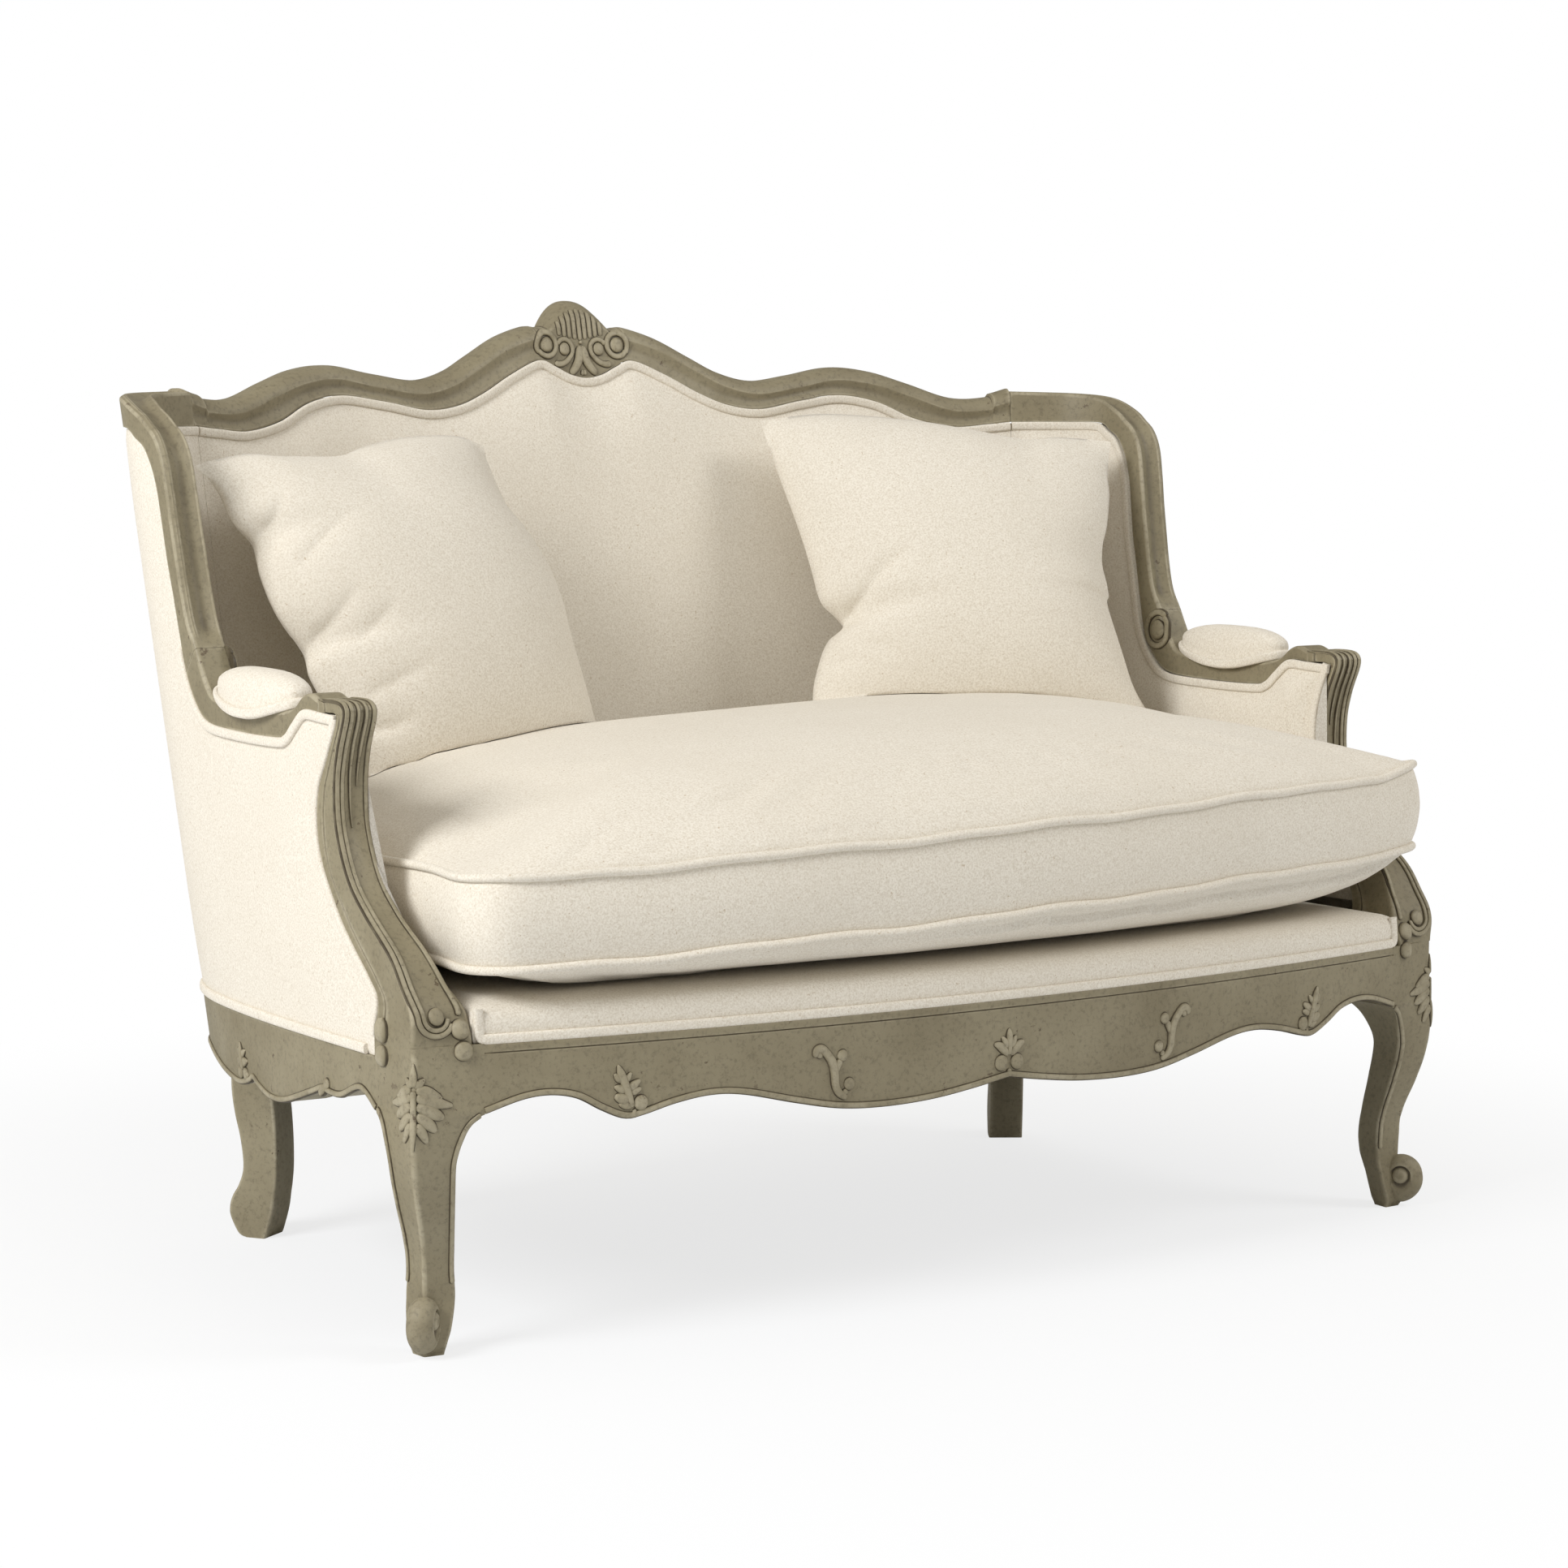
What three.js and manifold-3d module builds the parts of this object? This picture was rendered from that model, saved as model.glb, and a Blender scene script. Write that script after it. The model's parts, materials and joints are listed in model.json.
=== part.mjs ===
// Winged two-seat settee with a carved show-wood frame, a loose seat cushion and two loose pillows.
// Sizes are in millimetres. X is across the settee, -Y is its front, Z is up from the floor.
// The rounded shell of back, wings and arms is one curved wall. A place on the wall is told by
// a station, a height, and a depth inwards from its outer face. A station is a place round the
// plan, counted in rows of the table planShares from the middle of the back.

import * as THREE from 'three';
import { mergeVertices } from 'three/addons/utils/BufferGeometryUtils.js';
import Module from 'manifold-3d';

const wasm = await Module();
wasm.setup();

// Joints and cuts
const fit = 0.3;
const softFit = 0.6;
const clothSeam = 2.5;
const postSeam = 3;
const blockSeam = 4;
const overrun = 20;
const seamShare = 0.012;

// Plan of the wall, at the seat and at the height of the ears
const armHalfWidth = 672;
const wingFlare = 19;
const wingHalfWidth = armHalfWidth + wingFlare;
const earInset = 104;
const earHalfWidth = wingHalfWidth - earInset;
const seatDepth = 650;
const backRake = 134;
const topDepth = seatDepth + backRake;
const seatRailTop = 314;
const wallBaseDrop = 14;
const wallBase = seatRailTop - wallBaseDrop;
const earHeight = 950;
const planShares = [
  // seat width, seat depth, top width, top depth
  [0, 1, 0, 1],
  [0.365, 1, 0.355, 0.972],
  [0.551, 0.997, 0.536, 0.959],
  [0.729, 0.975, 0.768, 0.895],
  [0.833, 0.932, 0.874, 0.862],
  [0.911, 0.854, 0.9595, 0.8085],
  [0.952, 0.754, 0.999, 0.731],
  [0.975, 0.631, 1, 0.638],
  [0.99, 0.462, 0.996, 0.51],
  [0.997, 0.277, 0.99, 0.319],
  [1, 0.046, 0.978, 0.064],
  [1.001, -0.09, 0.978, -0.08],
];

// Crest rail: half of it, from the crown to the ear
const crownHeight = 1060;
const crestRailHeight = 40;
const woodDepth = 37;
const woodRound = 9;
const crestShares = [
  // place across, rise to the crown, height of the rail there
  [0, 1, 2.35],
  [0.043, 0.909, 1.825],
  [0.082, 0.709, 1.1],
  [0.119, 0.709, 1.025],
  [0.191, 0.591, 1.125],
  [0.264, 0.391, 1.125],
  [0.332, 0.209, 1],
  [0.409, 0.118, 0.875],
  [0.503, 0.182, 0.8],
  [0.608, 0.273, 0.875],
  [0.698, 0.227, 0.95],
  [0.78, 0.091, 1.1],
  [0.869, -0.073, 0.925],
  [0.945, -0.073, 0.85],
  [1, 0, 0.975],
];

// Wing rail: outer edge and cloth edge, from behind the ear down to the arm
const armHeight = 643;
const wingShares = [
  // outer depth, outer height, cloth depth, cloth height
  [0.96, 0.99, 0.96, 0.873],
  [0.886, 0.971, 0.878, 0.87],
  [0.823, 0.925, 0.838, 0.837],
  [0.792, 0.886, 0.81, 0.808],
  [0.765, 0.844, 0.791, 0.76],
  [0.744, 0.77, 0.779, 0.713],
  [0.731, 0.655, 0.767, 0.634],
  [0.722, 0.544, 0.757, 0.511],
  [0.711, 0.433, 0.748, 0.407],
  [0.698, 0.306, 0.734, 0.29],
  [0.683, 0.202, 0.72, 0.163],
  [0.66, 0.117, 0.702, 0.028],
];

// Arm rail: top edge and cloth edge, from the wing forward to the arm post
const armRailHeight = 45;
const armShares = [
  // top depth, top height, cloth depth, cloth height
  [0.623, -0.05, 0.669, -0.51],
  [0.592, -0.33, 0.623, -0.9],
  [0.508, -0.4, 0.508, -1],
  [0.385, -0.4, 0.377, -1],
  [0.315, -0.29, 0.342, -0.91],
  [0.277, 0.04, 0.315, -0.62],
  [0.254, 0.1, 0.279, -0.28],
  [0.2305, 0, 0.2305, -0.28],
];

// Arm post: front edge, cloth edge and width, from its top down to the front leg
const postWidth = 38;
const postFootShare = 1.6;
const postShares = [
  // front depth, height, cloth depth, height, width
  [0.154, 1, 0.2295, 1, 1],
  [0.1485, 0.976, 0.2295, 0.962, 1],
  [0.151, 0.942, 0.173, 0.956, 1],
  [0.171, 0.851, 0.2, 0.839, 1],
  [0.183, 0.748, 0.234, 0.723, 1],
  [0.179, 0.611, 0.2415, 0.602, 1],
  [0.145, 0.465, 0.226, 0.492, 1],
  [0.091, 0.365, 0.177, 0.353, 1],
  [0.015, 0.261, 0.135, 0.27, 1.1],
  [-0.023, 0.173, 0.083, 0.182, 1.31],
  [-0.052, 0.094, 0.055, 0.116, postFootShare],
  [-0.057, 0, 0.069, 0, postFootShare],
];

// Seat rails
const railDepth = 30;
const clothDrop = 19;
const clothLine = seatRailTop - clothDrop;
const coverOuterDepth = 1.5;
const coverInnerDepth = 9;
const coverRoom = 5;
const clothRebate = coverInnerDepth + coverRoom;
const innerRailDepth = clothRebate + railDepth;
const bowDepth = 107;
const bowRiseShare = 0.55;
const legBlockWidth = 72;
const legBlockHalfWidth = armHalfWidth - legBlockWidth;
const legBlockDepthShare = 0.069;
const legBlockDepth = seatDepth * legBlockDepthShare;
const railDrop = 105;
const frontRailShares = [
  // place across, drop of the lower edge
  [0, 0.79],
  [0.085, 0.867],
  [0.17, 0.924],
  [0.265, 0.943],
  [0.35, 0.914],
  [0.435, 0.819],
  [0.535, 0.686],
  [0.6, 0.657],
  [0.665, 0.705],
  [0.725, 0.79],
  [0.757, 0.81],
  [0.797, 0.714],
  [0.84, 0.581],
  [0.887, 0.529],
  [0.937, 0.552],
  [1, 0.66],
];
const sideRailShares = [
  // depth, drop of the lower edge
  [0.069, 0.695],
  [0.12, 0.543],
  [0.19, 0.676],
  [0.234, 0.686],
  [0.257, 0.667],
  [0.31, 0.762],
  [0.408, 0.924],
  [0.477, 0.952],
  [0.54, 0.867],
  [0.565, 0.876],
  [0.62, 0.876],
  [0.662, 0.79],
  [0.72, 0.695],
  [0.8, 0.667],
];
const rearRailDropShare = 0.7;

// Front legs, set on the diagonal: reach outwards, reach inwards and half width at each height
const frontFootInset = 33;
const frontFootHalfWidth = armHalfWidth - frontFootInset;
const legReach = 50;
const legChamferShare = 0.11;
const kneeDrop = 71;
const kneeHeight = seatRailTop - kneeDrop;
const kneeFlare = 23;
const frontLegHeight = kneeHeight - kneeFlare;
const frontLegShares = [
  [0, 0.3, -0.28, 0.36],
  [0.04, 0.62, -0.36, 0.42],
  [0.11, 0.84, -0.44, 0.5],
  [0.185, 0.84, -0.52, 0.53],
  [0.24, 0.62, -0.6, 0.54],
  [0.285, 0.34, -0.66, 0.53],
  [0.38, 0.3, -0.7, 0.5],
  [0.5, 0.36, -0.64, 0.53],
  [0.71, 0.72, -0.48, 0.63],
  [0.87, 0.93, -0.38, 0.7],
  [1, 1, -0.42, 0.75],
];
// Rear legs, turned a little off square: reach backwards and forwards at each height
const rearFootInset = 145;
const rearFootHalfWidth = armHalfWidth - rearFootInset;
const rearFootSetback = 59;
const rearFootDepth = seatDepth - rearFootSetback;
const rearLegTurn = Math.PI * 33 / 180;
const rearLegHalfWidth = 21;
const rearBlockDrop = 87;
const rearBlockHeight = seatRailTop - rearBlockDrop;
const rearLegFlare = 5;
const rearLegHeight = rearBlockHeight - rearLegFlare;
const rearLegReach = 30;
const rearLegShares = [
  [0, 0.33, -0.47],
  [0.02, 0.67, -0.55],
  [0.1, 1, -0.74],
  [0.155, 1.03, -0.84],
  [0.21, 0.9, -0.9],
  [0.27, 0.63, -0.97],
  [0.36, 0.43, -1.03],
  [0.5, 0.53, -1.03],
  [0.64, 0.77, -0.97],
  [0.78, 0.9, -0.87],
  [1, 0.85, -0.8],
];
const stileStationShares = [3.5, 4.05];
const padLap = 3;
const padBackDepth = woodDepth - padLap;
const stileGap = 4;
const stileBackDepth = coverInnerDepth + stileGap;
const stilePadGap = 3;
const stileFrontDepth = padBackDepth - stilePadGap;

// Inner frame
const lowerRailRise = 86;
const lowerRailHeight = 40;
const lowerRailBase = seatRailTop + lowerRailRise;
const lowerRailTop = lowerRailBase + lowerRailHeight;
const blockDrop = 52;
const blockHeight = 36;
const blockBase = seatRailTop - blockDrop;
const blockTop = blockBase + blockHeight;
const blockArm = 90;
const rearBlockStationShares = [2.9, 5.1];
const braceHalfWidth = 22;
const braceHeight = 32;
const braceTop = blockBase + braceHeight;
const springCount = 7;
const springPitch = 2 * legBlockHalfWidth / (springCount + 1);
const springWidth = 46;
const springLoops = 14;
const springWire = 4;
const springDrop = 14;
const springBase = seatRailTop - springDrop;
const dustCoverThickness = 1.6;
const dustCoverStationShares = [10, 9, 8, 7, 6, 5, 4, 3, 2, 1];
const webInset = 7;
const webDepth = stileFrontDepth - webInset;
const webThickness = 2.5;
const webWidth = 50;
const webColumns = 5;
const webRows = 2;

// Upholstery fixed to the frame
const padRim = 6;
const sidePadCrown = 16;
const backPadCrown = 26;
const padRoll = 38;
const deckRise = 34;
const deckTop = seatRailTop + deckRise;
const deckCrown = 8;
const deckInset = 4;
const deckFlatShare = 0.7;
const deckHalfWidth = armHalfWidth - postFootShare * postWidth - 2 * softFit;
const deckStationShares = [8, 7, 6, 5, 4, 3, 2, 1, 0];
const padBaseGap = 6;
const padBase = deckTop + padBaseGap;

// Arm pads
const armPadPlaceShares = [0.326, 0.612];
const armPadHalfWidth = 27;
const armPadRise = 38;

// Seat cushion
const cushionBase = deckTop + deckCrown + softFit;
const cushionBelly = 48;
const cushionBoxing = 91;
const cushionCrown = 100;
const cushionLowWelt = cushionBase + cushionBelly;
const cushionTopWelt = cushionLowWelt + cushionBoxing;
const cushionTop = cushionTopWelt + cushionCrown;
const cushionTiltShare = 0.035;
const cushionHornInset = 44;
const cushionHalfWidth = armHalfWidth - cushionHornInset;
const cushionWaistGap = 5;
const cushionWaistHalfWidth = armHalfWidth - padBackDepth - padRim - sidePadCrown - cushionWaistGap;
const cushionOverhang = 11;
const cushionBackGap = 10;
const cushionBackInset = padBackDepth + padRim + backPadCrown + cushionBackGap;
const cushionStationShares = [10, 9.3, 8.5, 7.7, 7, 6.4, 5.8, 5.2, 4.6, 4, 3.2, 2.4, 1.4, 0.5];
const cushionCornerStationShares = [10, 5, 5];
const cushionBoxBulgeShare = 0.008;
const cushionPlumpShare = 0.6;
const domePowerShare = 2.6;
const flatPowerShare = 9;

// Pillows
const pillowWidth = 460;
const pillowHeight = 420;
const pillowThickness = 160;
const pillowPinchShare = 0.07;
const pillowPlumpShare = 0.55;
const pillowLean = Math.PI * 25 / 180;
const rightPillowTurn = -Math.PI * 18 / 180;
const leftPillowTurn = Math.PI * 10 / 180;
const pillowRiseShare = 0.319;
const pillowSideGap = 54;
const pillowBackGap = 73;
const rightPillowCentre = [
  armHalfWidth - pillowSideGap - pillowWidth / 2,
  seatDepth - pillowBackGap - pillowHeight / 2 * Math.sin(pillowLean),
  cushionTop + pillowHeight * pillowRiseShare,
];
const leftPillowShift = 12;
const leftPillowDrop = 4;
const leftPillowCentre = [
  -rightPillowCentre[0] - leftPillowShift,
  rightPillowCentre[1] + leftPillowShift,
  rightPillowCentre[2] - leftPillowDrop,
];
const pillowGap = 1;

// Colours and finishes
const paintedWood = { color: 0x9a927b, roughness: 0.62, metalness: 0 };
const bareWood = { color: 0xb08d62, roughness: 0.75, metalness: 0 };
const linen = { color: 0xe6dcc8, roughness: 0.92, metalness: 0 };
const springSteel = { color: 0x70757a, roughness: 0.4, metalness: 0.9 };
const jute = { color: 0xa98f66, roughness: 0.95, metalness: 0 };
const blackCloth = { color: 0x2b2a28, roughness: 0.95, metalness: 0 };

// Points, curves and solids

const lerp = (a, b, share) => a + (b - a) * share;

// Smooth value between the rows of a table, column by column
function between(rows, place, mirrorFirst = false) {
  const last = rows.length - 1;
  const index = Math.min(Math.max(Math.floor(place), 0), last - 1);
  const share = place - index;
  const before = index > 0 ? rows[index - 1] : null;
  const after = rows[Math.min(index + 2, last)];
  return rows[index].map((start, column) => {
    const end = rows[index + 1][column];
    const mirrored = mirrorFirst && column % 2 === 0 ? -end : end;
    const lead = before ? before[column] : (mirrorFirst ? mirrored : start);
    const tail = after[column];
    const bend = 2 * lead - 5 * start + 4 * end - tail;
    const twist = 3 * start - lead - 3 * end + tail;
    return (2 * start + (end - lead) * share + bend * share ** 2 + twist * share ** 3) / 2;
  });
}

// A closed solid through rings of points, each end closed by a fan round its middle
function loft(rings) {
  const count = rings[0].length;
  const positions = [];
  for (const ring of rings) for (const point of ring) positions.push(point.x, point.y, point.z);
  const middles = [rings[0], rings[rings.length - 1]].map((ring) => {
    const middle = new THREE.Vector3();
    for (const point of ring) middle.add(point);
    return middle.divideScalar(count);
  });
  for (const middle of middles) positions.push(middle.x, middle.y, middle.z);
  const firstMiddle = rings.length * count;
  const lastRing = (rings.length - 1) * count;
  const triangles = [];
  for (let point = 0; point < count; point += 1) {
    const next = (point + 1) % count;
    for (let ring = 0; ring < rings.length - 1; ring += 1) {
      const low = ring * count;
      const high = low + count;
      triangles.push(low + point, low + next, high + next);
      triangles.push(low + point, high + next, high + point);
    }
    triangles.push(firstMiddle, next, point);
    triangles.push(firstMiddle + 1, lastRing + point, lastRing + next);
  }
  return solidFrom(positions, triangles);
}

// A geometry whose faces point outwards, whichever way round its triangles were given
function solidFrom(positions, triangles) {
  let volume = 0;
  const corner = (index) => new THREE.Vector3().fromArray(positions, index * 3);
  for (let index = 0; index < triangles.length; index += 3) {
    const [a, b, c] = triangles.slice(index, index + 3).map(corner);
    volume += a.dot(b.cross(c));
  }
  const ordered = [...triangles];
  if (volume < 0) ordered.reverse();
  const geometry = new THREE.BufferGeometry();
  geometry.setAttribute('position', new THREE.Float32BufferAttribute(positions, 3));
  geometry.setIndex(ordered);
  return geometry;
}

function mirrored(geometry) {
  const source = geometry.getIndex() ? geometry : mergeVertices(geometry);
  const positions = Array.from(source.getAttribute('position').array);
  for (let index = 0; index < positions.length; index += 3) positions[index] *= -1;
  return solidFrom(positions, Array.from(source.getIndex().array));
}

// Joining and cutting
function toManifold(geometry) {
  const bare = geometry.clone();
  bare.deleteAttribute('normal');
  bare.deleteAttribute('uv');
  const merged = mergeVertices(bare);
  return new wasm.Manifold(new wasm.Mesh({
    numProp: 3,
    vertProperties: new Float32Array(merged.getAttribute('position').array),
    triVerts: new Uint32Array(merged.getIndex().array),
  }));
}

function toGeometry(manifold) {
  const mesh = manifold.getMesh();
  const geometry = new THREE.BufferGeometry();
  geometry.setAttribute('position', new THREE.BufferAttribute(mesh.vertProperties, mesh.numProp));
  geometry.setIndex(new THREE.BufferAttribute(mesh.triVerts, 1));
  return geometry;
}

const cut = (geometry, tool) => toGeometry(toManifold(geometry).subtract(toManifold(tool)));

function joined(geometries) {
  return toGeometry(geometries.map(toManifold).reduce((whole, piece) => whole.add(piece)));
}

// An upright solid over a plan outline
function upright(outline, base, top) {
  const shape = new THREE.Shape(outline.map((point) => new THREE.Vector2(point.x, point.y)));
  const geometry = new THREE.ExtrudeGeometry(shape, { depth: top - base, bevelEnabled: false });
  return geometry.translate(0, 0, base);
}

// The wall

function wallOutline(station, height) {
  const [seatX, seatY, topX, topY] = between(planShares, station, true);
  // the depths keep their sign when the first row is mirrored
  const share = (height - wallBase) / (earHeight - wallBase);
  return new THREE.Vector2(
    lerp(seatX * armHalfWidth, topX * wingHalfWidth, share),
    lerp(seatY * seatDepth, topY * topDepth, share),
  );
}

const stationStepShare = 0.001;

function wall(station, height, depth) {
  const side = station < 0 ? -1 : 1;
  const place = Math.abs(station);
  const here = wallOutline(place, height);
  const before = wallOutline(Math.max(place - stationStepShare, 0), height);
  const along = wallOutline(place + stationStepShare, height).sub(before);
  if (place < stationStepShare) along.set(1, 0);
  along.normalize();
  const x = here.x + along.y * depth;
  const y = here.y - along.x * depth;
  return new THREE.Vector3(side * x, y, height);
}

// The station where the wall's outer face is so far across, or so far back
function stationAt(axis, value, height) {
  let low = axis === 'x' ? 0 : 3;
  let high = axis === 'x' ? 6 : planShares.length - 1;
  for (let round = 0; round < 30; round += 1) {
    const middle = (low + high) / 2;
    const beyond = axis === 'x'
      ? wallOutline(middle, height).x > value
      : wallOutline(middle, height).y < value;
    if (beyond) high = middle;
    else low = middle;
  }
  return (low + high) / 2;
}

// How far back the wall lies, at a depth inside it, at a place across the settee
function insideWallY(x, height, depth) {
  let low = 0;
  let high = 5;
  for (let round = 0; round < 30; round += 1) {
    const middle = (low + high) / 2;
    if (wall(middle, height, depth).x > x) high = middle;
    else low = middle;
  }
  return wall(low, height, depth).y;
}

// Two steps between each pair of a table's rows, as far as a share of the table
function smoothRows(rows, steps) {
  const places = Array.from({ length: (rows.length - 1) * steps + 1 }, (_, index) => index / steps);
  return places.map((place) => between(rows, place));
}

// Stations of the crest rail, from the crown to the ear
const crestRows = smoothRows(crestShares, 2).map(([across, rise, height]) => {
  const top = earHeight + rise * (crownHeight - earHeight);
  const station = stationAt('x', across * earHalfWidth, top);
  return { station, top, low: top - height * crestRailHeight };
});
crestRows[0].station = 0;
const earRow = crestRows[crestRows.length - 1];

// The height of the crest rail's cloth edge at a station
function crestLowAt(station) {
  const place = Math.abs(station);
  const index = crestRows.findIndex((row) => row.station >= place);
  if (index < 0) return earRow.low;
  if (index === 0) return crestRows[0].low;
  const [near, far] = [crestRows[index - 1], crestRows[index]];
  return lerp(near.low, far.low, (place - near.station) / (far.station - near.station));
}

// Stations of the wing and arm rails, from the ear to the arm post
const wingSpan = earHeight - armHeight;
const sideTable = [
  [earRow.station, earRow.top, earRow.station, earRow.low],
  ...wingShares.map(([outY, outZ, clothY, clothZ]) => wallRow(
    outY * seatDepth,
    armHeight + outZ * wingSpan,
    clothY * seatDepth,
    armHeight + clothZ * wingSpan,
  )),
  ...armShares.map(([topY, topZ, clothY, clothZ]) => wallRow(
    topY * seatDepth,
    armHeight + topZ * armRailHeight,
    clothY * seatDepth,
    armHeight + clothZ * armRailHeight,
  )),
];
const wingEnd = wingShares.length;
const armEnd = sideTable.length - 1;

function wallRow(outY, outZ, clothY, clothZ) {
  return [stationAt('y', outY, outZ), outZ, stationAt('y', clothY, clothZ), clothZ];
}

// Evenly spaced places from one row number to another, always holding the whole rows
function places(from, to, steps) {
  const inner = [];
  for (let place = Math.ceil(from * steps); place <= Math.floor(to * steps); place += 1) {
    if (place / steps > from + seamShare && place / steps < to - seamShare) inner.push(place / steps);
  }
  return [from, ...inner, to];
}

// Section of a show-wood bar: square at the cloth edge, rounded at the outer edge
function barRing(cloth, outer, width) {
  const reach = Math.hypot(wallReach(cloth, outer), outer.height - cloth.height);
  const share = Math.max(0, 1 - woodRound / reach);
  const rounded = {
    station: lerp(cloth.station, outer.station, share),
    height: lerp(cloth.height, outer.height, share),
  };
  return [
    wall(cloth.station, cloth.height, 0),
    wall(rounded.station, rounded.height, 0),
    wall(outer.station, outer.height, woodRound),
    wall(outer.station, outer.height, width - woodRound),
    wall(rounded.station, rounded.height, width),
    wall(cloth.station, cloth.height, width),
  ];
}

function wallReach(one, other) {
  return wallOutline(one.station, one.height).distanceTo(wallOutline(other.station, one.height));
}

function sideBar(from, to) {
  return loft(places(from, to, 2).map((place) => {
    const [outStation, outHeight, clothStation, clothHeight] = between(sideTable, place);
    const cloth = { station: clothStation, height: clothHeight };
    return barRing(cloth, { station: outStation, height: outHeight }, woodDepth);
  }));
}

function crestRail() {
  const row = ({ station, top, low }) => barRing(
    { station, height: low },
    { station, height: top },
    woodDepth,
  );
  const right = crestRows.map(row);
  const left = crestRows.slice(1).reverse().map((entry) => row({ ...entry, station: -entry.station }));
  return loft([...left, ...right]);
}

// Arm post
const postSpan = armHeight - seatRailTop - fit;
function postPoints(growth) {
  return postShares.map(([frontY, frontZ, clothY, clothZ, width]) => ({
    frontY: frontY * seatDepth,
    frontZ: seatRailTop + fit + frontZ * postSpan,
    clothY: clothY * seatDepth + growth,
    clothZ: seatRailTop + fit + clothZ * postSpan,
    width: width * postWidth,
  }));
}

function postPoint(y, height, depth) {
  return wall(stationAt('y', y, height), height, depth);
}

function armPost() {
  return loft(postPoints(0).map(({ frontY, frontZ, clothY, clothZ, width }) => {
    const roundY = lerp(frontY, clothY, woodRound / (clothY - frontY) / 2);
    const roundZ = lerp(frontZ, clothZ, woodRound / (clothY - frontY) / 2);
    return [
      postPoint(clothY, clothZ, 0),
      postPoint(roundY, roundZ, 0),
      postPoint(frontY, frontZ, woodRound),
      postPoint(frontY, frontZ, width - woodRound),
      postPoint(roundY, roundZ, width),
      postPoint(clothY, clothZ, width),
    ];
  }));
}

// All that lies in front of the post's cloth edge, to cut the panels that meet it
function postCutter() {
  const front = -bowDepth - overrun;
  const outside = armHalfWidth + overrun;
  const inside = armHalfWidth - 2 * postWidth - overrun;
  const rows = postPoints(postSeam);
  const top = { ...rows[0], clothZ: rows[0].clothZ + overrun };
  const bottom = { ...rows[rows.length - 1], clothZ: rows[rows.length - 1].clothZ - overrun };
  return loft([top, ...rows.slice(1), bottom].map(({ clothY, clothZ }) => [
    new THREE.Vector3(outside, clothY, clothZ),
    new THREE.Vector3(outside, front, clothZ),
    new THREE.Vector3(inside, front, clothZ),
    new THREE.Vector3(inside, clothY, clothZ),
  ]));
}

// Seat rails

// The bowed front of the seat, so far in from its face
function bowY(x, inset) {
  return bowRiseShare * bowDepth * (x / legBlockHalfWidth) ** 2 - bowDepth + inset;
}

function frontRail() {
  const half = legBlockHalfWidth - fit;
  const rows = smoothRows(frontRailShares, 2);
  const ring = (across, drop) => {
    const x = across * half;
    const low = seatRailTop - drop * railDrop;
    return [
      new THREE.Vector3(x, bowY(x, 0), low),
      new THREE.Vector3(x, bowY(x, 0), seatRailTop),
      new THREE.Vector3(x, bowY(x, railDepth), seatRailTop),
      new THREE.Vector3(x, bowY(x, railDepth), low),
    ];
  };
  const left = rows.slice(1).reverse().map(([across, drop]) => ring(-across, drop));
  return loft([...left, ...rows.map(([across, drop]) => ring(across, drop))]);
}

// Section of a side or rear rail, rebated at the top for the outside cloth
function rebatedRing(station, low) {
  return [
    wall(station, low, 0),
    wall(station, clothLine, 0),
    wall(station, clothLine, clothRebate - fit),
    wall(station, seatRailTop, clothRebate - fit),
    wall(station, seatRailTop, innerRailDepth),
    wall(station, low, innerRailDepth),
  ];
}

function sideRail() {
  const rings = smoothRows(sideRailShares, 2).map(([depth, drop]) => {
    const low = seatRailTop - drop * railDrop;
    return rebatedRing(stationAt('y', depth * seatDepth, clothLine), low);
  });
  const firstDrop = sideRailShares[0][1];
  const front = stationAt('y', legBlockDepth - overrun, clothLine);
  const lastDrop = sideRailShares[sideRailShares.length - 1][1];
  const rearLow = seatRailTop - lastDrop * railDrop;
  const rear = stileStationShares[1] + seamShare;
  const rail = loft([
    rebatedRing(front, seatRailTop - firstDrop * railDrop),
    ...rings,
    rebatedRing(lerp(rear, stileStationShares[1] + 1, 1 / 2), rearLow),
    rebatedRing(rear, rearLow),
  ]);
  const end = new THREE.BoxGeometry(armHalfWidth, armHalfWidth, armHalfWidth);
  end.translate(armHalfWidth, legBlockDepth + fit - armHalfWidth / 2, seatRailTop);
  return cut(rail, end);
}

// Stations of a rail across the back, closer together at its curved ends
function railStations(half) {
  const right = [0, 0.25, 0.5, 0.65, 0.75, 0.83, 0.9, 0.96, 1].map((share) => share * half);
  return [...right.slice(1).reverse().map((station) => -station), ...right];
}

function rearRail() {
  const half = stileStationShares[0] - seamShare;
  const low = seatRailTop - rearRailDropShare * railDrop;
  return loft(railStations(half).map((station) => rebatedRing(station, low)));
}

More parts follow.
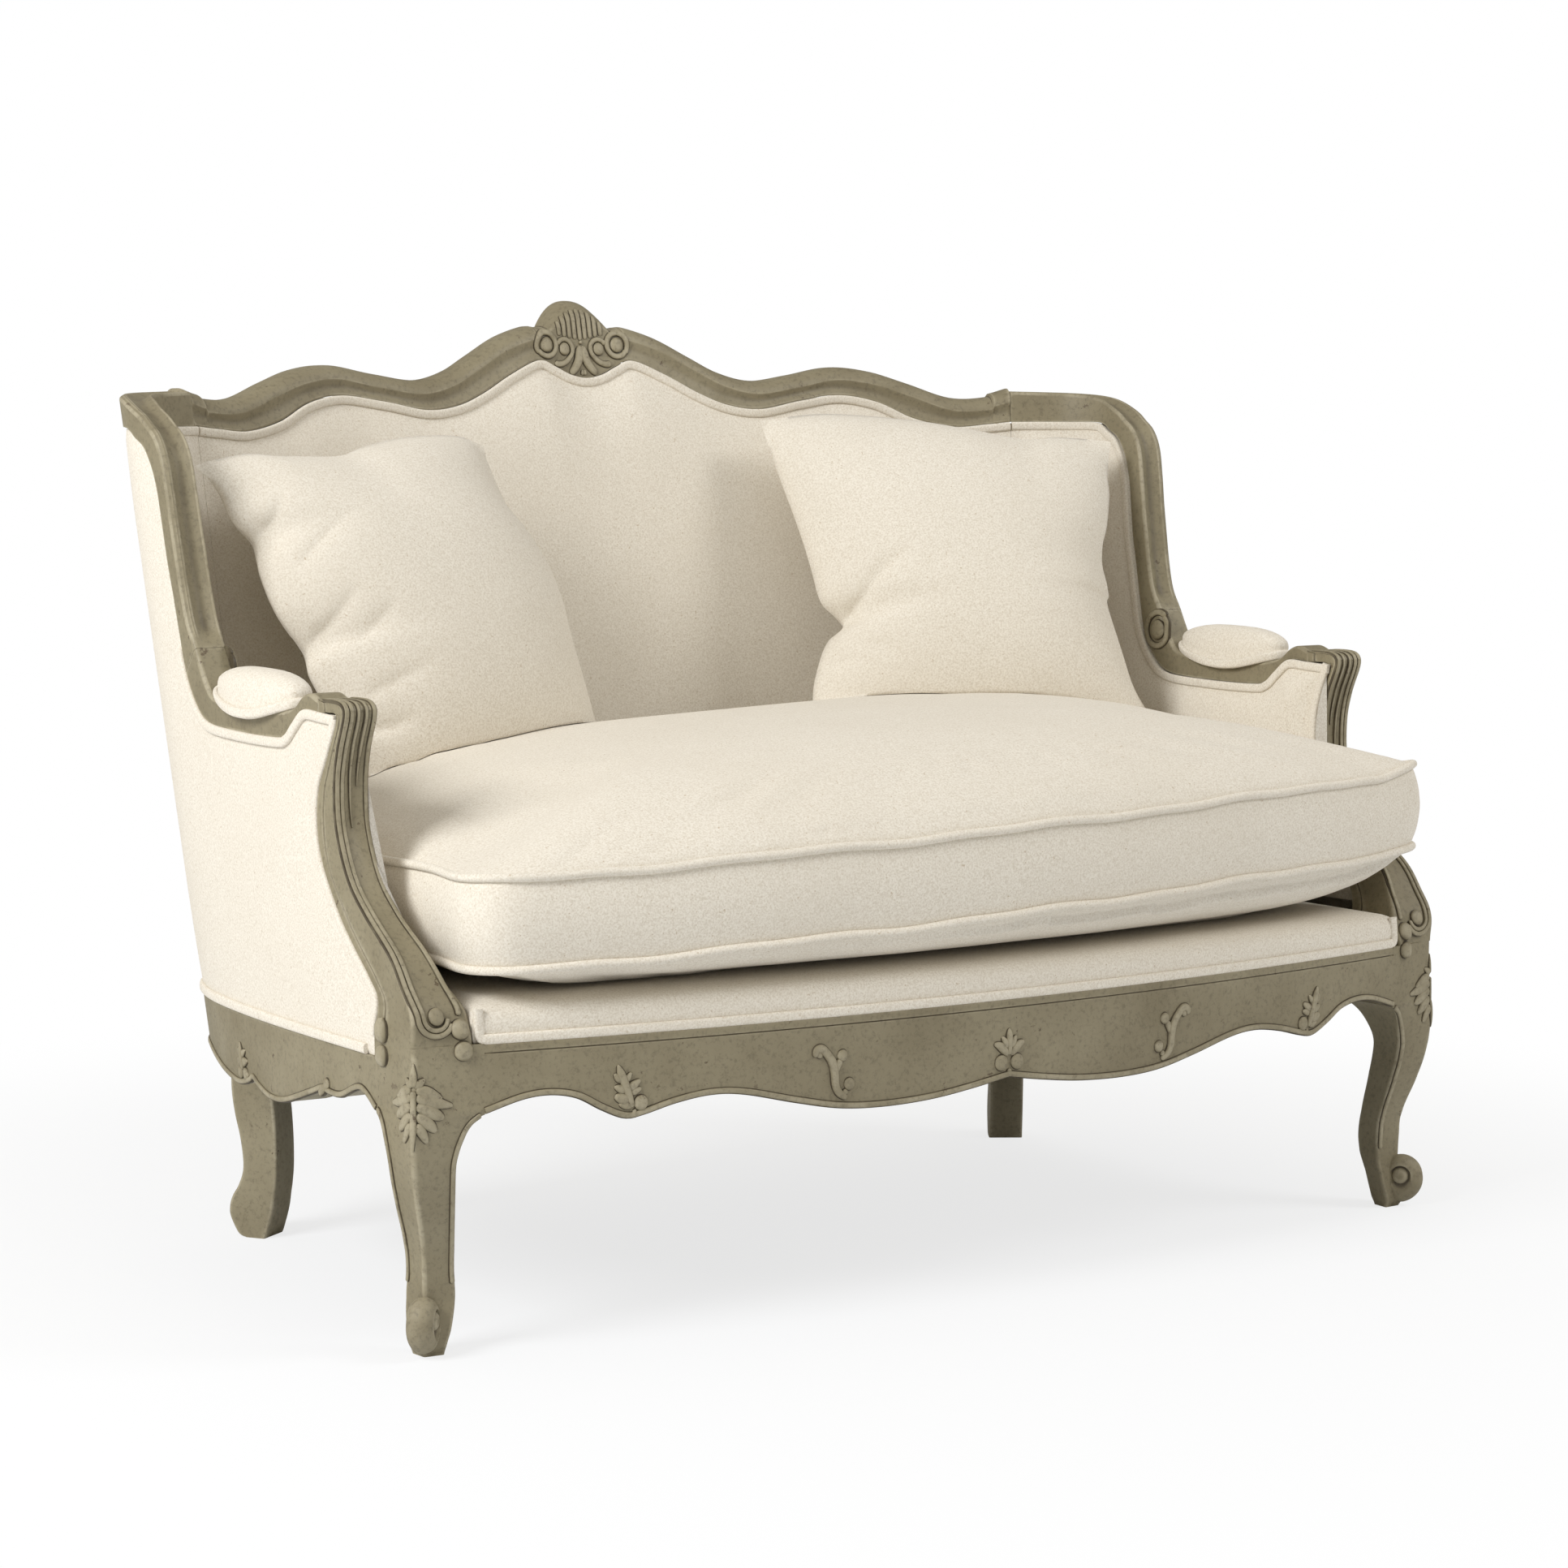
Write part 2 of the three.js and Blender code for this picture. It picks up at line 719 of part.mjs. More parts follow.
// Front leg: a diamond section on the diagonal, opening into a square block under the post
function frontLeg() {
  const root = Math.SQRT1_2;
  const corner = (out, along, height) => new THREE.Vector3(
    frontFootHalfWidth + (out + along) * root,
    (along - out) * root,
    height,
  );
  const chamfered = (corners) => corners.flatMap((point, index) => {
    const before = corners[(index + 3) % 4];
    const after = corners[(index + 1) % 4];
    return [point.clone().lerp(before, legChamferShare), point.clone().lerp(after, legChamferShare)];
  });
  const rings = frontLegShares.map(([level, out, back, half]) => {
    const height = level * frontLegHeight;
    const middle = (out + back) / 2 * legReach;
    return chamfered([
      corner(out * legReach, 0, height),
      corner(middle, half * legReach, height),
      corner(back * legReach, 0, height),
      corner(middle, -half * legReach, height),
    ]);
  });
  for (const height of [kneeHeight, seatRailTop]) {
    const side = wall(stationAt('y', legBlockDepth - fit, height), height, 0);
    const front = legBlockHalfWidth;
    rings.push(chamfered([
      new THREE.Vector3(armHalfWidth, bowY(armHalfWidth, 0), height),
      side,
      new THREE.Vector3(front, side.y, height),
      new THREE.Vector3(front, bowY(front, 0), height),
    ]));
  }
  return loft(rings);
}

// Rear leg: a turned square section that runs on as the block and the stile of the back
function rearLeg() {
  const sideways = new THREE.Vector3(Math.cos(rearLegTurn), -Math.sin(rearLegTurn), 0);
  const backwards = new THREE.Vector3(Math.sin(rearLegTurn), Math.cos(rearLegTurn), 0);
  const corner = (across, back, height) => new THREE.Vector3(rearFootHalfWidth, rearFootDepth, height)
    .addScaledVector(sideways, across)
    .addScaledVector(backwards, back);
  const rings = rearLegShares.map(([level, back, front]) => {
    const height = level * rearLegHeight;
    return [
      corner(rearLegHalfWidth, back * rearLegReach, height),
      corner(-rearLegHalfWidth, back * rearLegReach, height),
      corner(-rearLegHalfWidth, front * rearLegReach, height),
      corner(rearLegHalfWidth, front * rearLegReach, height),
    ];
  });
  const [inner, outer] = stileStationShares;
  const ring = (height, outerDepth, innerDepth) => [
    wall(outer, height, outerDepth),
    wall(inner, height, outerDepth),
    wall(inner, height, innerDepth),
    wall(outer, height, innerDepth),
  ];
  const stileTop = Math.min(crestLowAt(inner), sideTable[0][3], sideTable[1][3]) - softFit;
  const stileFoot = clothLine + fit;
  rings.push(ring(rearBlockHeight, 0, innerRailDepth), ring(clothLine - fit, 0, innerRailDepth));
  rings.push(ring(stileFoot, stileBackDepth, stileFrontDepth), ring(stileTop, stileBackDepth, stileFrontDepth));
  return loft(rings);
}

// Inner frame

function backLowerRail() {
  const half = stileStationShares[0] - seamShare;
  return loft(railStations(half).map((station) => [
    wall(station, lowerRailBase, stileBackDepth),
    wall(station, lowerRailTop, stileBackDepth),
    wall(station, lowerRailTop, stileFrontDepth),
    wall(station, lowerRailBase, stileFrontDepth),
  ]));
}

function frontCornerBlock() {
  const insideX = legBlockHalfWidth - fit;
  const behindY = legBlockDepth + fit;
  const sideX = wall(stationAt('y', behindY + blockArm, blockBase), blockBase, innerRailDepth + fit).x;
  const cornerX = wall(stationAt('y', behindY, blockBase), blockBase, innerRailDepth + fit).x;
  const railX = insideX - blockArm;
  return upright([
    new THREE.Vector2(railX, bowY(railX, railDepth + fit)),
    new THREE.Vector2(insideX, bowY(insideX, railDepth + fit)),
    new THREE.Vector2(insideX, behindY),
    new THREE.Vector2(Math.min(cornerX, sideX), behindY),
    new THREE.Vector2(sideX, behindY + blockArm),
  ], blockBase, blockTop);
}

function rearCornerBlock() {
  const [from, to] = rearBlockStationShares;
  const [inner, outer] = stileStationShares;
  const railSide = innerRailDepth + blockSeam;
  const legSide = innerRailDepth + blockSeam;
  return loft([blockBase, blockTop].map((height) => [
    wall(from, height, railSide),
    wall(lerp(from, inner, 1 / 2), height, railSide),
    wall(inner, height, legSide),
    wall(outer, height, legSide),
    wall(lerp(outer, to, 1 / 2), height, railSide),
    wall(to, height, railSide),
  ]));
}

function seatBrace() {
  const front = bowY(0, railDepth + fit);
  const rear = wall(0, blockBase, innerRailDepth + fit).y;
  const outline = [
    new THREE.Vector2(-braceHalfWidth, bowY(braceHalfWidth, railDepth + fit)),
    new THREE.Vector2(0, front),
    new THREE.Vector2(braceHalfWidth, bowY(braceHalfWidth, railDepth + fit)),
    new THREE.Vector2(braceHalfWidth, rear),
    new THREE.Vector2(-braceHalfWidth, rear),
  ];
  return upright(outline, blockBase, braceTop);
}

// A zigzag spring from the front rail to the rear rail
function seatSpring(x) {
  const reach = (springWidth - springWire) / 2;
  const endX = Math.max(Math.abs(x - reach - springWire / 2), Math.abs(x - reach + springWire / 2));
  const front = bowY(endX, railDepth + fit);
  const rear = insideWallY(endX, springBase, innerRailDepth + softFit);
  const pitch = (rear - front) / springLoops;
  const points = [];
  for (let loop = 0; loop <= springLoops; loop += 1) {
    const side = loop % 2 === 0 ? -1 : 1;
    const y = front + loop * pitch;
    const lead = loop === 0 ? 0 : pitch / 4;
    const tail = loop === springLoops ? 0 : pitch / 4;
    points.push(new THREE.Vector2(x + side * reach, y - lead));
    points.push(new THREE.Vector2(x + side * reach, y + tail));
  }
  return upright(thickened(points, springWire / 2), springBase, springBase + springWire);
}

// The outline of a line of points given a thickness
function thickened(points, half) {
  const normals = points.map((point, index) => {
    const before = points[Math.max(index - 1, 0)];
    const after = points[Math.min(index + 1, points.length - 1)];
    const lead = point.clone().sub(before).normalize();
    const tail = after.clone().sub(point).normalize();
    const along = lead.add(tail).normalize();
    return new THREE.Vector2(-along.y, along.x);
  });
  const one = points.map((point, index) => point.clone().addScaledVector(normals[index], half));
  const other = points.map((point, index) => point.clone().addScaledVector(normals[index], -half));
  return [...one, ...other.reverse()];
}

function dustCover() {
  const top = blockBase - fit;
  const inside = innerRailDepth + blockSeam;
  const frontX = legBlockHalfWidth - softFit;
  const frontY = legBlockDepth + softFit;
  const right = [];
  for (const share of [0, 1 / 4, 1 / 2, 3 / 4, 1]) {
    right.push(new THREE.Vector2(share * frontX, bowY(share * frontX, railDepth + softFit)));
  }
  right.push(new THREE.Vector2(frontX, frontY));
  for (const station of dustCoverStationShares) {
    const point = wall(station, top, inside);
    if (point.y > frontY) right.push(new THREE.Vector2(point.x, point.y));
  }
  const left = right.slice(1).reverse().map((point) => new THREE.Vector2(-point.x, point.y));
  return upright([...right, ...left], top - dustCoverThickness, top);
}

// Straps across the back, between the lower rail, the stiles and the crest rail
function backWebbing() {
  const half = stileStationShares[0] - seamShare;
  const strap = (stations, lowAt, highAt) => loft(stations.map((station) => [
    wall(station, lowAt(station), webDepth),
    wall(station, highAt(station), webDepth),
    wall(station, highAt(station), webDepth + webThickness),
    wall(station, lowAt(station), webDepth + webThickness),
  ]));
  const pieces = [];
  const lowest = lowerRailTop + fit;
  for (let column = 0; column < webColumns; column += 1) {
    const middle = lerp(-half, half, (column + 1 / 2) / webColumns);
    const edges = [-1, 1].map((side) => middle + side * stationWidth(middle));
    const top = Math.min(...edges.map(crestLowAt), crestLowAt(middle)) - webThickness;
    pieces.push(strap([edges[0], middle, edges[1]], () => lowest, () => top));
  }
  const highest = crestLowAt(half);
  for (let row = 0; row < webRows; row += 1) {
    const middle = lerp(lowest, highest, (row + 1) / (webRows + 1));
    const stations = Array.from({ length: 9 }, (_, index) => lerp(-half, half, index / 8));
    pieces.push(strap(stations, () => middle - webWidth / 2, () => middle + webWidth / 2));
  }
  return joined(pieces);
}

// Half a strap's width as a count of stations
function stationWidth(station) {
  const place = Math.abs(station);
  const here = wallOutline(place, lowerRailTop);
  const reach = wallOutline(place + stationStepShare, lowerRailTop).distanceTo(here);
  return webWidth / 2 / (reach / stationStepShare);
}

// Upholstery fixed to the frame

// A panel of the wall between two depths, through columns that each hold a top height
function wallPanel(columns, base, rows, backDepth, frontDepth) {
  return loft(columns.map(({ station, top }) => {
    const heights = Array.from({ length: rows + 1 }, (_, index) => lerp(base, top, index / rows));
    const back = heights.map((height) => wall(station, height, backDepth));
    const front = heights.map((height) => wall(station, height, frontDepth(station, height)));
    return [...back, ...front.reverse()];
  }));
}

const halfSeam = seamShare / 2;
const crestColumns = crestRows.map(({ station, low }) => ({ station, top: low - clothSeam }));
const backColumns = [
  ...crestColumns.slice(1).reverse().map(({ station, top }) => ({ station: -station, top })),
  ...crestColumns,
];
const innerBackColumns = backColumns.map(({ station, top }) => (
  { station: THREE.MathUtils.clamp(station, halfSeam - earRow.station, earRow.station - halfSeam), top }
));
const sideColumns = places(halfSeam, armEnd, 2).map((place) => {
  const [, , station, height] = between(sideTable, place);
  return { station, top: height - clothSeam };
});
const lastColumn = sideColumns[sideColumns.length - 1];
sideColumns.push({ station: planShares.length - 1, top: lastColumn.top });

// How far a place on the wall lies from the nearest edge of its opening
function edgeDistance(columns, base, station, height) {
  const here = wallOutline(Math.abs(station), height);
  let nearest = height - base;
  for (let index = 1; index < columns.length; index += 1) {
    const [one, other] = [columns[index - 1], columns[index]].map((column) => {
      const place = wallOutline(Math.abs(column.station), column.top);
      return new THREE.Vector3(Math.sign(column.station || 1) * place.x, place.y, column.top);
    });
    const point = new THREE.Vector3(Math.sign(station || 1) * here.x, here.y, height);
    const closest = new THREE.Line3(one, other).closestPointToPoint(point, true, new THREE.Vector3());
    nearest = Math.min(nearest, closest.distanceTo(point));
  }
  return Math.max(nearest, 0);
}

function crowned(columns, crown) {
  return (station, height) => {
    const distance = edgeDistance(columns, padBase, station, height);
    return padBackDepth + padRim + crown * (1 - Math.exp(-distance / padRoll));
  };
}

const coverBase = clothLine + fit;
const coverFace = () => coverInnerDepth;
const postSide = postCutter();
const sideCover = cut(wallPanel(sideColumns, coverBase, 1, coverOuterDepth, coverFace), postSide);
const backCover = wallPanel(innerBackColumns, coverBase, 1, coverOuterDepth, coverFace);
const sidePad = cut(
  wallPanel(sideColumns, padBase, 6, padBackDepth, crowned(sideColumns, sidePadCrown)),
  postSide,
);
const backPad = wallPanel(
  innerBackColumns,
  padBase,
  8,
  padBackDepth,
  crowned(innerBackColumns, backPadCrown),
);

// Seat deck: the sprung seat under the cushion, with its cloth band along the front rail
function seatDeck() {
  const base = seatRailTop + fit;
  const outline = (inset) => {
    const points = [];
    const half = deckHalfWidth - inset;
    for (let index = 0; index <= 12; index += 1) {
      const x = lerp(-half, half, index / 12);
      points.push(new THREE.Vector2(x, bowY(x, deckInset + inset)));
    }
    const leftStations = deckStationShares.slice(0, -1).reverse().map((station) => -station);
    for (const station of [...deckStationShares, ...leftStations]) {
      const point = wall(station, base, padBackDepth + inset);
      const x = THREE.MathUtils.clamp(point.x, -half, half);
      points.push(new THREE.Vector2(x, point.y));
    }
    return points;
  };
  const ring = (inset, height, scale = 1) => outline(inset).map((point) => (
    new THREE.Vector3(point.x * scale, point.y * scale, height)
  ));
  const round = (deckTop - base) / 4;
  return loft([
    ring(round / 2, base),
    ring(0, base + round),
    ring(0, deckTop - round),
    ring(round, deckTop),
    ring(round, deckTop + deckCrown, deckFlatShare),
  ]);
}

// Arm pad: a small domed cushion that follows the hollow of the arm rail
function armTopAt(y) {
  const rows = sideTable.slice(wingEnd).map(([station, height]) => (
    { y: wallOutline(station, height).y, height }
  ));
  for (let index = 1; index < rows.length; index += 1) {
    const [near, far] = [rows[index - 1], rows[index]];
    if (y <= near.y && y >= far.y) {
      return lerp(near.height, far.height, (near.y - y) / (near.y - far.y));
    }
  }
  return armHeight;
}

function armPad() {
  const [armPadFront, armPadRear] = armPadPlaceShares.map((share) => share * seatDepth);
  const middleY = (armPadFront + armPadRear) / 2;
  const halfLength = (armPadRear - armPadFront) / 2;
  const levelShares = [[0.9, 0], [0.99, 0.1], [1, 0.28], [0.9, 0.55], [0.7, 0.8], [0.4, 0.96]];
  const turns = 20;
  const rings = levelShares.map(([scaleShare, riseShare]) => {
    const ring = [];
    for (let turn = 0; turn < turns; turn += 1) {
      const angle = turn / turns * 2 * Math.PI;
      const across = Math.sign(Math.cos(angle)) * Math.abs(Math.cos(angle)) ** 0.7;
      const along = Math.sign(Math.sin(angle)) * Math.abs(Math.sin(angle)) ** 0.9;
      const y = middleY + along * halfLength * scaleShare;
      const base = armTopAt(y) + fit;
      const middle = wall(stationAt('y', y, base), base, woodDepth / 2);
      const height = base + riseShare * armPadRise;
      ring.push(new THREE.Vector3(middle.x + across * armPadHalfWidth * scaleShare, y, height));
    }
    return ring;
  });
  return loft(rings);
}

// Seat cushion: a boxed cushion, crowned above and below, bowed along the front.
// Its right end is plumper than its left, so its welts rise a little from left to right.
function seatCushion() {
  const middleHeight = (cushionLowWelt + cushionTopWelt) / 2;
  const outline = [];
  for (let index = 0; index <= 14; index += 1) {
    const across = 2 * index / 14 - 1;
    const x = across * cushionHalfWidth;
    outline.push({ x, y: bowY(x, -cushionOverhang), across, back: -1 });
  }
  const sides = [];
  const [frontStation, cornerStation, sideStations] = cushionCornerStationShares;
  for (const station of cushionStationShares) {
    const point = wall(station, middleHeight, cushionBackInset);
    const across = Math.min(station / cornerStation, 1);
    const back = Math.min(2 * (frontStation - station) / sideStations - 1, 1);
    sides.push({ x: Math.min(point.x, cushionWaistHalfWidth), y: point.y, across, back });
  }
  outline.push(...sides);
  outline.push(...sides.slice().reverse().map((place) => ({ ...place, x: -place.x, across: -place.across })));
  const middleY = (bowY(0, 0) + wall(0, middleHeight, cushionBackInset).y) / 2;
  const ring = (scale, base, rise, power) => outline.map(({ x, y, across, back }) => {
    const plump = (1 - Math.abs(across * scale) ** power) * (1 - Math.abs(back * scale) ** power);
    const level = Math.max(plump, 0) ** cushionPlumpShare;
    const tilt = base === cushionLowWelt && rise ? 1 - level : 1;
    const height = base + rise * level + x * cushionTiltShare * tilt;
    return new THREE.Vector3(x * scale, lerp(middleY, y, scale), height);
  });
  const crown = cushionTop - cushionTopWelt;
  const belly = cushionBase - cushionLowWelt;
  const underScales = [0.35, 0.6, 0.8, 0.92, 0.98];
  const overScales = [0.985, 0.93, 0.84, 0.7, 0.52, 0.32, 0.12];
  return loft([
    ...underScales.map((scale) => ring(scale, cushionLowWelt, belly, flatPowerShare)),
    ring(1, cushionLowWelt, 0, 1),
    ring(1 + cushionBoxBulgeShare, middleHeight, 0, 1),
    ring(1, cushionTopWelt, 0, 1),
    ...overScales.map((scale) => ring(scale, cushionTopWelt, crown, domePowerShare)),
  ]);
}

// Pillow: a square cushion that is plump in the middle, with drawn-in sides and a knife edge
function pillow([x, y, z], turn, cushion) {
  const half = new THREE.Vector2(pillowWidth / 2, pillowHeight / 2);
  const perSide = 8;
  const outline = [];
  for (let side = 0; side < 4; side += 1) {
    for (let index = 0; index < perSide; index += 1) {
      const along = 2 * index / perSide - 1;
      const pull = 1 - pillowPinchShare * (1 - along ** 2);
      outline.push(new THREE.Vector2(pull, along).rotateAround(new THREE.Vector2(), side * Math.PI / 2));
    }
  }
  const ring = (scale, face) => outline.map((point) => {
    const [a, b] = [point.x * scale, point.y * scale];
    const swell = (1 - Math.abs(a) ** domePowerShare) * (1 - Math.abs(b) ** domePowerShare);
    const plump = Math.max(0, swell) ** pillowPlumpShare;
    return new THREE.Vector3(a * half.x, face * plump * pillowThickness / 2, b * half.y);
  });
  const scales = [0.15, 0.4, 0.62, 0.8, 0.92, 0.98];
  const form = loft([
    ...scales.map((scale) => ring(scale, -1)),
    outline.map((point) => new THREE.Vector3(point.x * half.x, 0, point.y * half.y)),
    ...scales.slice().reverse().map((scale) => ring(scale, 1)),
  ]);
  form.rotateX(-pillowLean);
  form.rotateZ(turn);
  form.translate(x, y, z);
  const seat = cushion.clone().translate(0, 0, pillowGap);
  return cut(form, seat);
}

// Assembly

const settee = new THREE.Group();

function add(name, geometry, finish) {
  const mesh = new THREE.Mesh(geometry, new THREE.MeshStandardMaterial(finish));
  mesh.name = name;
  settee.add(mesh);
}

function addPair(name, geometry, finish) {
  add(`${name}_right`, geometry, finish);
  add(`${name}_left`, mirrored(geometry), finish);
}

add('crest_rail', crestRail(), paintedWood);
addPair('wing_rail', sideBar(seamShare, wingEnd - seamShare), paintedWood);
addPair('arm_rail', sideBar(wingEnd + seamShare, armEnd), paintedWood);
addPair('arm_post', armPost(), paintedWood);
addPair('front_leg', frontLeg(), paintedWood);
addPair('rear_leg', rearLeg(), paintedWood);
add('front_rail', frontRail(), paintedWood);
addPair('side_rail', sideRail(), paintedWood);
add('rear_rail', rearRail(), paintedWood);

add('back_lower_rail', backLowerRail(), bareWood);
addPair('front_corner_block', frontCornerBlock(), bareWood);
addPair('rear_corner_block', rearCornerBlock(), bareWood);
add('seat_brace', seatBrace(), bareWood);
for (let index = 0; index < springCount; index += 1) {
  const x = (index - (springCount - 1) / 2) * springPitch;
  add(`seat_spring_${index + 1}`, seatSpring(x), springSteel);
}
add('back_webbing', backWebbing(), jute);
add('dust_cover', dustCover(), blackCloth);

addPair('side_cover', sideCover, linen);
add('back_cover', backCover, linen);
addPair('side_pad', sidePad, linen);
add('back_pad', backPad, linen);
add('seat_deck', seatDeck(), linen);
addPair('arm_pad', armPad(), linen);

const cushion = seatCushion();
add('seat_cushion', cushion, linen);
add('pillow_right', pillow(rightPillowCentre, rightPillowTurn, cushion), linen);
add('pillow_left', pillow(leftPillowCentre, leftPillowTurn, cushion), linen);

// The origin is on the floor, under the middle of the settee's own box
settee.updateMatrixWorld(true);
const box = new THREE.Box3().setFromObject(settee);
settee.position.y = -(box.min.y + box.max.y) / 2;
settee.updateMatrixWorld(true);

export default settee;
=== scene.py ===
import json
import math

import bpy
import numpy as np
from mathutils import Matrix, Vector
from mathutils.bvhtree import BVHTree
from mathutils.kdtree import KDTree

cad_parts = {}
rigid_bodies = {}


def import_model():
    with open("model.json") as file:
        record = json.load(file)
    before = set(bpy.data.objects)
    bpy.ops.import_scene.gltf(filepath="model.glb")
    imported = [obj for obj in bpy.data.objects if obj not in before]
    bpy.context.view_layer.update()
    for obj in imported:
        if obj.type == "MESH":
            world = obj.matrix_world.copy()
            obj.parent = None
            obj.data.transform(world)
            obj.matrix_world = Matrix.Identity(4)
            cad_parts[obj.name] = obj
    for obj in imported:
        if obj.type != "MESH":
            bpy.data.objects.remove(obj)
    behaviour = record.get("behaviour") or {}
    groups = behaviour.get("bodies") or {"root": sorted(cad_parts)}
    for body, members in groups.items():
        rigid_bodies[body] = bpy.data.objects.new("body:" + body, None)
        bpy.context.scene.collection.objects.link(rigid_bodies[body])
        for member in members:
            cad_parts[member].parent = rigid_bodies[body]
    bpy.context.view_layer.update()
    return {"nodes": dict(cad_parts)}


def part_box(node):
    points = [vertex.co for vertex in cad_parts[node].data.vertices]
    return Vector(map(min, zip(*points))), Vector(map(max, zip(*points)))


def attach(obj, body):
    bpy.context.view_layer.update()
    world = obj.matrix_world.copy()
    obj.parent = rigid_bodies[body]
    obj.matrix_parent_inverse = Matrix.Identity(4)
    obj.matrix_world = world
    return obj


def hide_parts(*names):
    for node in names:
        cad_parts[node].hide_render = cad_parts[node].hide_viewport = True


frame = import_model()

bl_info = {
    "name": "Winged settee",
    "version": (1, 0, 0),
    "blender": (4, 5, 0),
    "location": "3D View > Sidebar > Settee",
    "description": "Painted show wood, linen upholstery, loose cushion and pillows of a winged settee",
    "category": "Add Mesh",
}

mm = 0.001
join_gap = 0.3 * mm

# The wall: the curved shell of back, wings and arms. A place on it has a station round the plan,
# a height, and a depth inwards from its outer face. Left stations are negative.
arm_half_width = 0.672
wing_half_width = 0.691
ear_half_width = 0.587
seat_depth = 0.650
top_depth = 0.784
seat_rail_top = 0.314
wall_base = 0.300
ear_height = 0.950
crown_height = 1.060
arm_height = 0.643
wing_span = ear_height - arm_height
arm_step = 0.045
cloth_line = 0.295
bow_depth = 0.107
bow_rise = 0.55
leg_block_half = 0.600
leg_block_depth = 0.04485
rail_drop = 0.105
rail_depth = 44 * mm
cloth_rebate = 13.7 * mm
side_rail_end = 4.062
rear_rail_end = 3.488
rear_rail_share = 0.7
bead_lift = 3.2 * mm
wood_depth = 0.037
settee_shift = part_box("front_rail")[0].y + bow_depth

plan_shares = np.array([
    [0, 1, 0, 1],
    [0.365, 1, 0.355, 0.972],
    [0.551, 0.997, 0.536, 0.959],
    [0.729, 0.975, 0.768, 0.895],
    [0.833, 0.932, 0.874, 0.862],
    [0.911, 0.854, 0.9595, 0.8085],
    [0.952, 0.754, 0.999, 0.731],
    [0.975, 0.631, 1, 0.638],
    [0.99, 0.462, 0.996, 0.51],
    [0.997, 0.277, 0.99, 0.319],
    [1, 0.046, 0.978, 0.064],
    [1.001, -0.09, 0.978, -0.08],
])
crest_shares = np.array([
    [0, 1, 2.35],
    [0.043, 0.909, 1.99],
    [0.082, 0.709, 1.19],
    [0.119, 0.709, 1.025],
    [0.191, 0.591, 1.125],
    [0.264, 0.391, 1.125],
    [0.332, 0.209, 1],
    [0.409, 0.118, 0.875],
    [0.503, 0.182, 0.8],
    [0.608, 0.273, 0.875],
    [0.698, 0.227, 0.95],
    [0.78, 0.091, 1.1],
    [0.869, -0.073, 0.925],
    [0.945, -0.073, 0.85],
    [1, 0, 0.975],
])
wing_shares = np.array([
    [0.96, 0.99, 0.96, 0.873],
    [0.886, 0.971, 0.878, 0.87],
    [0.823, 0.925, 0.838, 0.837],
    [0.792, 0.886, 0.81, 0.808],
    [0.765, 0.844, 0.791, 0.76],
    [0.744, 0.77, 0.779, 0.713],
    [0.731, 0.655, 0.767, 0.634],
    [0.722, 0.544, 0.757, 0.511],
    [0.711, 0.433, 0.748, 0.407],
    [0.698, 0.306, 0.734, 0.29],
    [0.683, 0.202, 0.72, 0.163],
    [0.66, 0.117, 0.702, 0.028],
])
arm_shares = np.array([
    [0.623, -0.05, 0.669, -0.51],
    [0.592, -0.33, 0.623, -0.9],
    [0.508, -0.4, 0.508, -1],
    [0.385, -0.4, 0.377, -1],
    [0.315, -0.29, 0.342, -0.91],
    [0.277, 0.04, 0.315, -0.62],
    [0.254, 0.1, 0.279, -0.28],
    [0.2305, 0, 0.2305, -0.28],
])
post_shares = np.array([
    [0.154, 1, 0.2295, 1, 1],
    [0.1485, 0.976, 0.2295, 0.962, 1],
    [0.151, 0.942, 0.173, 0.956, 1],
    [0.171, 0.851, 0.2, 0.839, 1],
    [0.183, 0.748, 0.234, 0.723, 1],
    [0.179, 0.611, 0.2415, 0.602, 1],
    [0.145, 0.465, 0.226, 0.492, 1],
    [0.091, 0.365, 0.177, 0.353, 1],
    [0.015, 0.261, 0.135, 0.27, 1.1],
    [-0.023, 0.173, 0.083, 0.182, 1.31],
    [-0.052, 0.094, 0.055, 0.116, 1.6],
    [-0.057, 0, 0.069, 0, 1.6],
])
front_rail_shares = np.array([
    [0, 0.79], [0.085, 0.867], [0.17, 0.924], [0.265, 0.943], [0.35, 0.914], [0.435, 0.819],
    [0.535, 0.686], [0.6, 0.657], [0.665, 0.705], [0.725, 0.79], [0.757, 0.81], [0.797, 0.714],
    [0.84, 0.581], [0.887, 0.529], [0.937, 0.552], [1, 0.66],
])
side_rail_shares = np.array([
    [0.069, 0.695], [0.12, 0.543], [0.19, 0.676], [0.234, 0.686], [0.257, 0.667],
    [0.31, 0.762], [0.408, 0.924], [0.47, 0.952], [0.515, 0.89], [0.54, 0.825], [0.558, 0.87],
    [0.6, 0.93], [0.64, 0.925], [0.69, 0.88], [0.74, 0.81], [0.8, 0.73],
])
front_leg_shares = np.array([
    [0, 0.3, -0.28, 0.34], [0.04, 0.42, -0.36, 0.4], [0.11, 0.36, -0.44, 0.48],
    [0.185, 0.3, -0.52, 0.52], [0.24, 0.26, -0.6, 0.53], [0.285, 0.28, -0.66, 0.53],
    [0.38, 0.3, -0.7, 0.5], [0.5, 0.36, -0.64, 0.53], [0.71, 0.72, -0.48, 0.63],
    [0.87, 0.93, -0.38, 0.7], [1, 1, -0.42, 0.75],
])
rear_leg_shares = np.array([
    [0, 0.33, -0.47], [0.02, 0.67, -0.55], [0.1, 1, -0.74], [0.155, 1.03, -0.84],
    [0.21, 0.9, -0.9], [0.27, 0.63, -0.97], [0.36, 0.43, -1.03], [0.5, 0.53, -1.03],
    [0.64, 0.77, -0.97], [0.78, 0.9, -0.87], [1, 0.85, -0.8],
])


# Places on the wall

